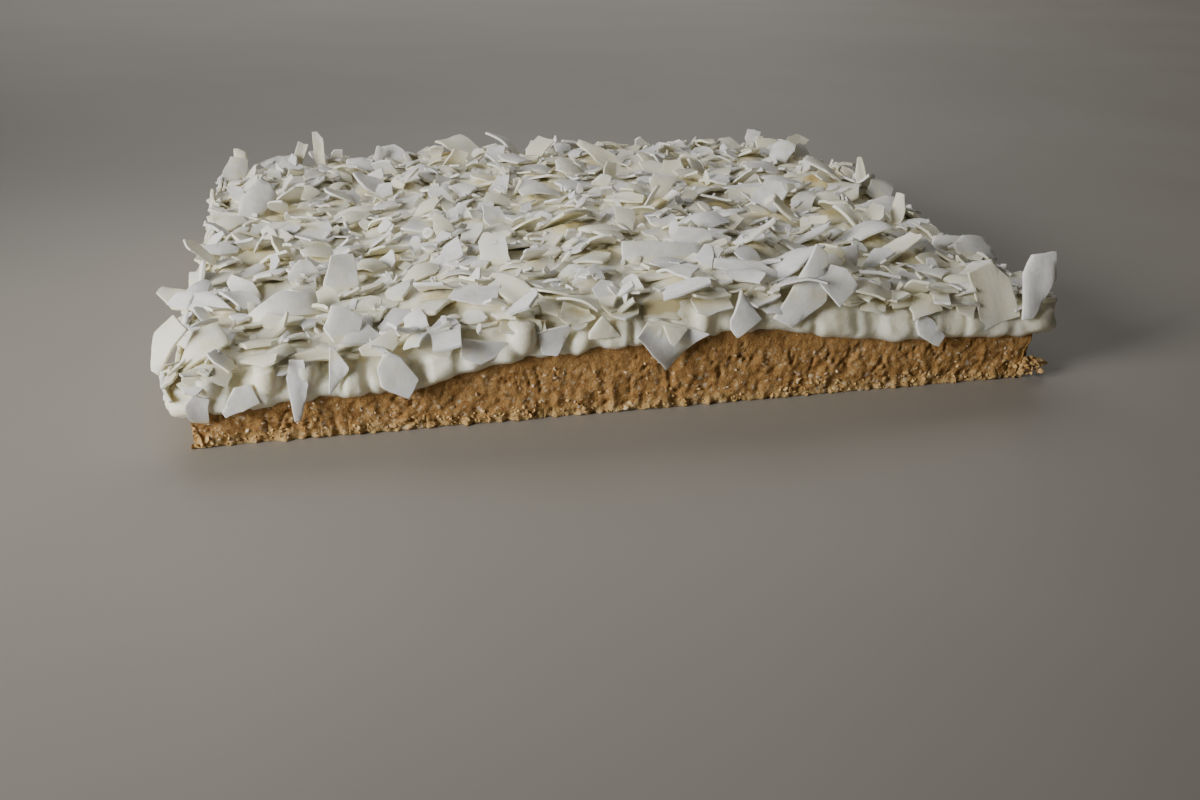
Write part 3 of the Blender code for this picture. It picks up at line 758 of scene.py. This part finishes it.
def keep_clear_of_base(bm):
    """Moves what hangs below the icing out from the base's cut side."""
    for vertex in bm.verts:
        x, y, z = vertex.co
        inner_x, inner_y = BASE_WIDTH / 2 + HANGING_CLEARANCE, BASE_DEPTH / 2 + HANGING_CLEARANCE
        if z > base_top(x, y) + JOIN_GAP or abs(x) > inner_x or abs(y) > inner_y:
            continue
        if abs(x) - inner_x > abs(y) - inner_y:
            vertex.co.x = math.copysign(inner_x, x)
        else:
            vertex.co.y = math.copysign(inner_y, y)


def near_icing(place):
    """How much icing clings at a place: 1 in the icing, 0 well clear of it."""
    above = place.z - icing_top(place.x, place.y)
    side_x = abs(place.x) - BASE_WIDTH / 2 - ICING_OVERHANG - END_OVERHANG
    side_y = abs(place.y) - BASE_DEPTH / 2 - ICING_OVERHANG
    return ease((CLING - max(above, CLING_ON_SIDES * side_x, CLING_ON_SIDES * side_y)) / CLING_FADE)


def scatter():
    """A mesh that chips are added to, with how warm and how iced each point is; the iced value later also
    carries painted shade.
    """
    heap = bmesh.new()
    heap.verts.layers.float.new("tone")
    heap.verts.layers.float.new("iced")
    return heap


def tip_into(heap, chip):
    """Moves one small mesh into a heap of them."""
    carrier = bpy.data.meshes.new("chip")
    chip.to_mesh(carrier)
    chip.free()
    heap.from_mesh(carrier)
    bpy.data.meshes.remove(carrier)


def add_to(heap, chip, pose, tone, iced):
    """Puts one chip into a heap at its place, more iced the nearer it is to the icing."""
    bmesh.ops.transform(chip, matrix=pose, verts=chip.verts)
    keep_clear_of_base(chip)
    tones, iced_and_shaded_layer = chip.verts.layers.float.new("tone"), chip.verts.layers.float.new("iced")
    for vertex in chip.verts:
        vertex[tones] = tone
        vertex[iced_and_shaded_layer] = max(iced, near_icing(vertex.co))
    tip_into(heap, chip)


# The heap's surface on top, as heights on a square grid, so that each later flake lies on those before it.
HEAP_CELL = 0.5 * MM
HEAP_REACH = (BASE_WIDTH / 2 + 3 * MM, BASE_DEPTH / 2 + 3 * MM)
heap_x = np.arange(-HEAP_REACH[0], HEAP_REACH[0], HEAP_CELL)
heap_y = np.arange(-HEAP_REACH[1], HEAP_REACH[1], HEAP_CELL)
surface = np.array([[icing_top(x, y) for x in heap_x] for y in heap_y])
bare = surface.copy()


def footprint(x, y, reach):
    """The part of the grid around a place, as slices, with its x and y."""
    columns = slice(max(0, np.searchsorted(heap_x, x - reach)), np.searchsorted(heap_x, x + reach))
    rows = slice(max(0, np.searchsorted(heap_y, y - reach)), np.searchsorted(heap_y, y + reach))
    return (rows, columns), *np.meshgrid(heap_x[columns], heap_y[rows])


def raise_surface(pose, length, width, snapped, bend, thickness):
    """Raises the surface to the top of a flake that lies at a pose."""
    window, gx, gy = footprint(pose.translation.x, pose.translation.y, 0.6 * length)
    turn = np.array([[pose[0][0], pose[0][1]], [pose[1][0], pose[1][1]]])
    if gx.size == 0 or abs(np.linalg.det(turn)) < LEAST_LEVEL:
        return
    u, v = np.tensordot(np.linalg.inv(turn), [gx - pose.translation.x, gy - pose.translation.y], 1)
    inside = (abs(u) < length / 2) & (abs(v) < width / 2)
    for reach, normal in snapped:
        inside &= (u / length - reach.x) * normal.x + (v / width - reach.y) * normal.y < 0
    lifted = bend * length * (1 - 4 * (u / length) ** 2) + thickness
    top = pose.translation.z + pose[2][0] * u + pose[2][1] * v + pose[2][2] * lifted
    patch = surface[window]
    patch[inside] = np.maximum(patch[inside], top[inside])


def coconut_finish():
    made, tree, shader, place = new_finish("dried coconut")
    iced = reading(tree, "iced")
    grain = noisy(tree, place, 0.55, 4.0, 0.6)
    tones = [(0.0, FLAKE_LILAC), (0.35, FLAKE_WHITE), (0.75, FLAKE_BRIGHT), (1.0, FLAKE_CREAM)]
    chip = ramp(tree, reading(tree, "tone"), tones)
    weathered = ramp(tree, grain, [(0.3, (0.86, 0.855, 0.83)), (0.6, 1.0)])
    colour = blended(tree, 1.0, chip, weathered, "MULTIPLY")
    reach = sums(tree, "ADD", iced, noisy(tree, place, 0.35, 4.0, 0.65))
    film_and_shade = ramp(tree, reach, [(0.66, 0.0), (1.12, 1.0)])
    # Painted shade: the film runs from pale icing to dark gold as the icing and the painted depth shade add
    # up.
    depth_shade = sums(tree, "MULTIPLY", iced, 0.5)
    film_and_shade_colour = ramp(tree, depth_shade, [(0.40, FILM_PALE), (0.90, FILM_DEPTH_SHADE)])
    colour = blended(tree, film_and_shade, colour, film_and_shade_colour)
    tree.links.new(colour, shader.inputs["Base Color"])
    shine = ramp(tree, film_and_shade, [(0.0, 0.64), (1.0, 0.42)])
    tree.links.new(shine, shader.inputs["Roughness"])
    shader.inputs["Specular IOR Level"].default_value = 0.36
    lit_within(shader, 0.35, 0.0018, (1.0, 0.92, 0.75))
    bumped(tree, noisy(tree, place, 1.3, 4.0, 0.6), shader, 0.09, 0.7)
    return made


dried_coconut = coconut_finish()
placed = [*standing_flakes(), *pressed_flakes()]
taken = [pose.translation.copy() for *_, pose in placed]
large = scatter()
for index, (length, width, snapped, bend, pose) in enumerate([*placed, *top_flakes(taken), *side_flakes()]):
    draw = random.Random(FLAKE_SEED * 3000 + index)
    if pose[2][2] > LEVEL_ENOUGH:
        raise_surface(pose, length, width, snapped, bend, FLAKE_THICKNESS)
    stands_out = index < len(placed)
    thickness, wave = draw.uniform(*LARGE_THICKNESS), PLACED_WAVE if stands_out else 1.0
    chip = coconut_flake(draw, length, width, snapped, bend, thickness, LARGE_GRID, wave)
    soften_rim(chip)
    tone = draw.uniform(*PLACED_TONES) if stands_out else draw.random()
    add_to(large, chip, pose, tone, draw.choice(LARGE_ICED))
large_flakes = finished("large_coconut_flakes", large, dried_coconut, FLAKE_SHARP)
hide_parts("lemon_icing")
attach(large_flakes, "root")

# ---------------------------------------------------------------------------------------------------------
# Smaller coconut flakes: the same chips, broken smaller. They fill between the large ones, lie over each
# other like shingle, and sit half sunk in the icing's cut sides.

SMALL_ON_TOP = 560
SMALL_LENGTH = (3.6 * MM, 9.0 * MM, 5.2 * MM)
SMALL_SLIMNESS = (0.4, 0.8)
SMALL_THICKNESS = (0.35 * MM, 0.65 * MM)
SMALL_GRID = (5, 4)
SMALL_ICED = (0.0, 0.1, 0.3, 0.5, 0.75)
SMALL_TRIES = 5
SMALL_STEEPEST = 0.55
SLANT_SPREAD = 0.17
RESTS_ON = 86
TIPS = (0, 0, 0, 0, 0, 8, 14, 24, 40)
TIPPED_SUNK = 0.7 * MM
FLAT_SUNK = 0.15 * MM
CHIP_THICKNESS = 0.5 * MM
CHIP_SLIMNESS = (0.5, 0.9)
CHIP_GRID = (4, 3)
CUT_SPACING = 3.8 * MM
CUT_LENGTH = (2.4 * MM, 5.2 * MM)
CUT_HEIGHT = (1.0 * MM, 6.6 * MM)
CUT_SUNK = (0.35 * MM, 0.75 * MM)
CUT_LEAN = (4, 14)
CUT_TONES = (0, 0.7)
CUT_ICED = (0.0, 0.1, 0.3)
CLEAN_ICING = (34 * MM, 46 * MM)
CLEAR_OF_PLACED = 5.5 * MM
RIM_SPACING = 2.6 * MM
RIM_LENGTH = (3.0 * MM, 6.0 * MM)
RIM_DEPTH = (0.4 * MM, 1.5 * MM)
RIM_LEAN = (25, 70)
RIM_SUNK = (-0.2 * MM, 0.5 * MM)
RIM_TURN = (-35, 35)
RIM_TONES = (0, 0.8)
RIM_ICED = (0.0, 0.2, 0.4)
RIM_CLEAR_OF_PLACED = 4.0 * MM


def settled(draw, length, width, tries, limit):
    """The lowest of several places on top, and the pose of a flake that lies there on what is under it."""
    best = None
    for _ in range(tries):
        x = draw.uniform(-0.5, 0.5) * (BASE_WIDTH + 1.5 * MM)
        y = draw.uniform(-0.5, 0.5) * (BASE_DEPTH + 1.5 * MM)
        window, _, _ = footprint(x, y, 0.4 * length)
        pile = float((surface[window] - bare[window]).mean())
        if best is None or pile < best[0]:
            best = (pile, x, y)
    _, x, y = best
    heading = draw.uniform(0, 2 * math.pi)
    window, gx, gy = footprint(x, y, 0.55 * length)
    dx, dy = gx - x, gy - y
    u = dx * math.cos(heading) + dy * math.sin(heading)
    v = dy * math.cos(heading) - dx * math.sin(heading)
    under = (abs(u) < length / 2) & (abs(v) < width / 2)
    heights = surface[window][under]
    terms = np.stack([np.ones(heights.size), u[under], v[under]], 1)
    level, along, across = np.linalg.lstsq(terms, heights, rcond=None)[0]
    along = min(max(along + draw.gauss(0, SLANT_SPREAD), -limit), limit)
    across = min(max(across + draw.gauss(0, SLANT_SPREAD), -limit), limit)
    clear = np.percentile(heights - along * u[under] - across * v[under], RESTS_ON)
    slant = Matrix.Rotation(-math.atan(along), 4, "Y") @ Matrix.Rotation(math.atan(across), 4, "X")
    tip = math.radians(draw.choice(TIPS)) * draw.uniform(0.6, 1.2)
    lift = length / 2 * math.sin(tip) - (TIPPED_SUNK if tip > 0.2 else FLAT_SUNK)
    place = Matrix.Translation((x, y, float(clear) + lift)) @ Matrix.Rotation(heading, 4, "Z")
    return place @ slant @ Matrix.Rotation(tip, 4, "Y")


def clear_of_placed(pose):
    """How far a pose is from the nearest flake that has a place of its own."""
    return min((pose.translation - other).length for other in taken)


small = scatter()
for index in range(SMALL_ON_TOP):
    draw = random.Random(FLAKE_SEED * 5000 + index)
    length = draw.triangular(*SMALL_LENGTH)
    width = length * draw.uniform(*SMALL_SLIMNESS)
    thickness = draw.uniform(*SMALL_THICKNESS)
    pose = settled(draw, length, width, SMALL_TRIES, SMALL_STEEPEST)
    snapped, bend = flake_rule(draw)
    raise_surface(pose, length, width, snapped, bend, thickness)
    chip = coconut_flake(draw, length, width, snapped, bend, thickness, SMALL_GRID)
    add_to(small, chip, pose, draw.random(), draw.choice(SMALL_ICED))
for side in range(4):
    for index in range(round(side_reach(side) / CUT_SPACING)):
        draw = random.Random(FLAKE_SEED * 6000 + side * 500 + index)
        along = (draw.random() - 0.5) * side_reach(side)
        length = draw.uniform(*CUT_LENGTH)
        spot = side_edge(side, along)
        height = base_top(spot.x, spot.y) + draw.uniform(*CUT_HEIGHT)
        turn, lean, sunk = draw.uniform(0, 180), draw.gauss(*CUT_LEAN), draw.uniform(*CUT_SUNK)
        pose = lean_on_side(side, along, height, turn, lean, sunk)
        snapped, bend = flake_rule(draw)
        left_clean = side == 0 and CLEAN_ICING[0] < along < CLEAN_ICING[1]
        if clear_of_placed(pose) < CLEAR_OF_PLACED or left_clean:
            continue
        width = length * draw.uniform(*CHIP_SLIMNESS)
        chip = coconut_flake(draw, length, width, snapped, bend, CHIP_THICKNESS, CHIP_GRID)
        add_to(small, chip, pose, draw.uniform(*CUT_TONES), draw.choice(CUT_ICED))
for side in range(4):
    for index in range(round(side_reach(side) / RIM_SPACING)):
        draw = random.Random(FLAKE_SEED * 6500 + side * 500 + index)
        along = (draw.random() - 0.5) * side_reach(side)
        length = draw.uniform(*RIM_LENGTH)
        spot = side_edge(side, along)
        height = icing_top(spot.x, spot.y) - draw.uniform(*RIM_DEPTH)
        turn, lean, sunk = draw.uniform(*RIM_TURN), draw.uniform(*RIM_LEAN), draw.uniform(*RIM_SUNK)
        pose = lean_on_side(side, along, height, turn, lean, sunk)
        snapped, bend = flake_rule(draw)
        if clear_of_placed(pose) > RIM_CLEAR_OF_PLACED:
            width = length * draw.uniform(*CHIP_SLIMNESS)
            chip = coconut_flake(draw, length, width, snapped, bend, CHIP_THICKNESS, CHIP_GRID)
            add_to(small, chip, pose, draw.uniform(*RIM_TONES), draw.choice(RIM_ICED))
small_flakes = finished("small_coconut_flakes", small, dried_coconut, FLAKE_SHARP)
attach(small_flakes, "root")

# ---------------------------------------------------------------------------------------------------------
# Coconut shards: splinters and flecks of dried coconut that broke off the flakes as they were shaken out.
# They lie in the gaps between the flakes and over the top of them.

SHARDS = 760
SHARD_LENGTH = (1.0 * MM, 4.2 * MM, 1.9 * MM)
SHARD_SLIMNESS = (0.25, 0.8)
SHARD_THICKNESS = (0.3 * MM, 0.6 * MM)
SHARD_GRID = (2, 2)
SHARD_ICED = (0.0, 0.1, 0.4)
SHARD_TRIES = 2
SHARD_STEEPEST = 1.2
SHARD_FOOTING = 1.2 * MM

shards = scatter()
for index in range(SHARDS):
    draw = random.Random(FLAKE_SEED * 7000 + index)
    length = draw.triangular(*SHARD_LENGTH)
    width = length * draw.uniform(*SHARD_SLIMNESS)
    pose = settled(draw, length, max(width, SHARD_FOOTING), SHARD_TRIES, SHARD_STEEPEST)
    snapped, bend = flake_rule(draw)
    chip = coconut_flake(draw, length, width, snapped, bend, draw.uniform(*SHARD_THICKNESS), SHARD_GRID)
    add_to(shards, chip, pose, draw.random(), draw.choice(SHARD_ICED))
coconut_shards = finished("coconut_shards", shards, dried_coconut, FLAKE_SHARP)
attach(coconut_shards, "root")

# ---------------------------------------------------------------------------------------------------------
# Icing between the flakes: it crept up round them when they were pressed in. Painted shade turns it
# gold, then amber, in the crevices that the flakes shade, and painted shade darkens the film to gold on
# the flakes where they sink below the heap's level.

CREEP = 0.48
CREEP_REACH = 3
SHADE_REACH = 4
LEVEL_REACH = 5
CREEP_LIMIT = 1.6 * MM
CREEP_DEPTH = 1.5 * MM
RIM_FADE = 2.5 * MM
SHADED_FROM = 0.2 * MM
SHADED_OVER = 2.6 * MM
SUNK_OVER = 1.5 * MM
SUNK_LIMIT = 1.2


def softened(field, reach):
    """A height field averaged over a square of cells."""
    for axis in (0, 1):
        padded = np.pad(field, [(reach + 1, reach) if a == axis else (0, 0) for a in (0, 1)], mode="edge")
        run = np.cumsum(padded, axis=axis)
        ahead = np.take(run, range(2 * reach + 1, run.shape[axis]), axis=axis)
        behind = np.take(run, range(0, run.shape[axis] - 2 * reach - 1), axis=axis)
        field = (ahead - behind) / (2 * reach + 1)
    return field


pile = surface - bare
crept = np.minimum(CREEP * softened(pile, CREEP_REACH), CREEP_LIMIT)
shaded = softened(pile, SHADE_REACH) - crept
# Painted shade: how much the flakes over each point of the icing shade it, for its gold to amber colour.
painted_crevice_shade = lemon_icing.data.attributes.new("painted_crevice_shade", "FLOAT", "POINT")
for vertex in lemon_icing.data.vertices:
    x, y, z = vertex.co
    rim = ease(min(BASE_WIDTH / 2 - abs(x), BASE_DEPTH / 2 - abs(y)) / RIM_FADE)
    cell = np.searchsorted(heap_y, y), np.searchsorted(heap_x, x)
    if rim > 0 and z > icing_top(x, y) - CREEP_DEPTH:
        vertex.co.z += rim * float(crept[cell])
        painted_crevice_shade.data[vertex.index].value = rim * ease((float(shaded[cell]) - SHADED_FROM) / SHADED_OVER)
# Painted shade: flake points sunk below the heap's softened level get a darker gold film, added to how iced
# they are.
level = softened(surface, LEVEL_REACH)
for piece in (large_flakes, small_flakes, coconut_shards):
    count = len(piece.data.vertices)
    spots, iced = np.empty(3 * count, np.float32), np.empty(count, np.float32)
    piece.data.vertices.foreach_get("co", spots)
    piece.data.attributes["iced"].data.foreach_get("value", iced)
    x, y, z = spots.reshape(-1, 3).T
    rows = np.clip(np.searchsorted(heap_y, y), 0, len(heap_y) - 1)
    columns = np.clip(np.searchsorted(heap_x, x), 0, len(heap_x) - 1)
    inside = (abs(x) < BASE_WIDTH / 2) & (abs(y) < BASE_DEPTH / 2)
    depth_shade = np.where(inside, np.clip((level[rows, columns] - z) / SUNK_OVER, 0.0, SUNK_LIMIT), 0.0)
    piece.data.attributes["iced"].data.foreach_set("value", iced + depth_shade)

# ---------------------------------------------------------------------------------------------------------
# Crumbs and coconut bits in the base: grains that the knife pulled out of the cut, thickest along the foot
# and in a clump at the right end of the front, and pale bits of coconut pressed into the cut.

CRUMBS = 2200
CRUMB = (0.3 * MM, 1.2 * MM, 0.45 * MM)
CRUMB_SPREAD = 1.25 * MM
CRUMB_SQUASH = 0.75
CRUMB_LIFT = 0.35
CRUMB_SUNK = 0.1
CRUMB_PATCH = 7 * MM
CLUMP = Vector((70.5 * MM, -59.6 * MM, 2.3 * MM))
CLUMP_GRAINS = 70
CLUMP_GRAIN = (0.6 * MM, 1.7 * MM, 0.9 * MM)
CLUMP_SPREAD = (1.5, 0.7, 0.6)
CLUMP_SQUASH = 0.8
BITS = 600
BIT = (0.3 * MM, 1.2 * MM, 0.5 * MM)
BIT_HEIGHT = (0.5 * MM, 8.5 * MM)
BIT_SUNK = 0.12
BIT_SQUASH = 0.45
ROUGHNESS = 0.9
ANY_TURN = (0, 6.28)
GRAIN_SHARP = 50.0


def grain(heap, draw, place, size, squash):
    """One rough grain, or flat bit, at a place."""
    turn = Matrix.Rotation(draw.uniform(*ANY_TURN), 4, "Z") @ Matrix.Rotation(draw.uniform(*ANY_TURN), 4, "X")
    shape = turn @ Matrix.Diagonal((1, draw.uniform(0.5, 1), squash, 1))
    rough = bmesh.new()
    bmesh.ops.create_icosphere(rough, subdivisions=1, radius=size / 2)
    seen = Vector((draw.uniform(0, 99), 0, 0))
    for vertex in rough.verts:
        lumpy = 1 + ROUGHNESS * noise.noise(vertex.co / size * 3.1 + seen)
        vertex.co = place + shape @ (vertex.co * lumpy)
    tip_into(heap, rough)


def on_cut(draw, height, out):
    """A place at a height on one of the base's four cut sides."""
    side = draw.choices(range(4), (BASE_WIDTH, BASE_DEPTH, BASE_WIDTH, BASE_DEPTH))[0]
    along = (draw.random() - 0.5) * side_reach(side)
    spot = side_edge(side, along)
    share = min(height / base_top(spot.x, spot.y), 1.0)
    under = (UNDERCUT_END if side % 2 else UNDERCUT_LONG) * (1 - share)
    spot = side_edge(side, along, crumb_relief(spot.x, spot.y, height, share) - under + out)
    return Vector((spot.x, spot.y, height))


def plain_finish(name, dark, light, per_mm, roughness, glow):
    """A finish of two shades: its grains to the millimetre, its roughness and how much light soaks in."""
    made, tree, shader, place = new_finish(name)
    colour = ramp(tree, noisy(tree, place, per_mm, 3.0), [(0.35, dark), (0.65, light)])
    tree.links.new(colour, shader.inputs["Base Color"])
    shader.inputs["Roughness"].default_value = roughness
    lit_within(shader, glow, 0.0010, (1.0, 0.7, 0.4))
    return made


crumbs = bmesh.new()
for index in range(CRUMBS):
    draw = random.Random(FLAKE_SEED * 8000 + index)
    size = draw.triangular(*CRUMB)
    height = abs(draw.gauss(0.1 * MM, CRUMB_SPREAD)) + CRUMB_LIFT * size
    spot = on_cut(draw, height, -CRUMB_SUNK * size)
    if noise.noise(spot / CRUMB_PATCH) > draw.uniform(-0.5, 0.25):
        grain(crumbs, draw, spot, size, CRUMB_SQUASH)
for index in range(CLUMP_GRAINS):
    draw = random.Random(FLAKE_SEED * 8500 + index)
    size = draw.triangular(*CLUMP_GRAIN)
    away = Vector(draw.gauss(0, spread) for spread in CLUMP_SPREAD) * MM
    grain(crumbs, draw, CLUMP + away, size, CLUMP_SQUASH)
loose_crumb = plain_finish("loose crumb", (0.42, 0.24, 0.078), (0.58, 0.40, 0.175), 0.7, 0.8, 0.1)
base_crumbs = finished("base_crumbs", crumbs, loose_crumb, GRAIN_SHARP)
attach(base_crumbs, "root")

bits = bmesh.new()
for index in range(BITS):
    draw = random.Random(FLAKE_SEED * 9000 + index)
    size = draw.triangular(*BIT)
    height = draw.uniform(*BIT_HEIGHT)
    grain(bits, draw, on_cut(draw, height, -BIT_SUNK * size), size, BIT_SQUASH)
pressed_coconut = plain_finish("pressed coconut", (0.52, 0.36, 0.19), (0.66, 0.53, 0.37), 0.9, 0.6, 0.2)
base_bits = finished("coconut_bits", bits, pressed_coconut, GRAIN_SHARP)
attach(base_bits, "root")

# ---------------------------------------------------------------------------------------------------------
# Counter, light and camera: a plain pale counter, a soft window low at the front left, and the light of the
# room over the counter behind. The camera stands close in front, left of the middle, and looks down.

FLOOR_SIZE = 20.0
FLOOR_GAP = 0.05 * MM
COUNTER_DARK = (0.275, 0.253, 0.218)
COUNTER_LIGHT = (0.295, 0.273, 0.238)
WINDOW_PLACE = (-0.38, -0.18, 0.14)
WINDOW_AIM = (0, 0, 0.01)
ROOM_PLACE = (0.10, 1.15, 0.75)
ROOM_AIM = (0.10, 0.90, 0)
ROOM_GLOW = 0.054

floor_mesh = bmesh.new()
bmesh.ops.create_grid(floor_mesh, x_segments=1, y_segments=1, size=FLOOR_SIZE)
bmesh.ops.translate(floor_mesh, vec=(0, 0, -FLOOR_GAP), verts=floor_mesh.verts)
pale_counter = plain_finish("pale counter", COUNTER_DARK, COUNTER_LIGHT, 0.01, 0.5, 0.0)
floor = finished("floor", floor_mesh, pale_counter)


def soft_light(name, place, aim, size, spread, watts, colour):
    """A square lamp of a size in metres, aimed at a place, its beam's spread in degrees."""
    data = bpy.data.lights.new(name, "AREA")
    data.shape = "SQUARE"
    data.size = size
    data.spread = math.radians(spread)
    data.energy = watts
    data.color = colour
    lamp = bpy.data.objects.new(name, data)
    lamp.location = place
    lamp.rotation_euler = (Vector(aim) - Vector(place)).to_track_quat("-Z", "Y").to_euler()
    bpy.context.scene.collection.objects.link(lamp)


soft_light("window", WINDOW_PLACE, WINDOW_AIM, 0.20, 62, 0.45, (1.0, 0.99, 0.98))
soft_light("room", ROOM_PLACE, ROOM_AIM, 1.4, 120, 5.6, (1.0, 0.99, 0.97))
world = bpy.data.worlds.new("studio")
world.use_nodes = True
world.node_tree.nodes["Background"].inputs["Color"].default_value = (0.94, 0.93, 0.92, 1)
world.node_tree.nodes["Background"].inputs["Strength"].default_value = ROOM_GLOW
bpy.context.scene.world = world

CAMERA_PLACE = Vector((-0.0442, -0.2247, 0.0769))
CAMERA_HEADING = math.radians(12.81)
CAMERA_PITCH = math.radians(23.74)
CAMERA_ROLL = math.radians(0.41)
lens = bpy.data.cameras.new("camera")
lens.lens = 34.5
lens.sensor_width = 36
lens.clip_start = 0.01
camera = bpy.data.objects.new("camera", lens)
aimed = Matrix.Rotation(-CAMERA_HEADING, 4, "Z") @ Matrix.Rotation(math.pi / 2 - CAMERA_PITCH, 4, "X")
camera.matrix_world = Matrix.Translation(CAMERA_PLACE) @ aimed @ Matrix.Rotation(CAMERA_ROLL, 4, "Z")
bpy.context.scene.collection.objects.link(camera)
bpy.context.scene.camera = camera
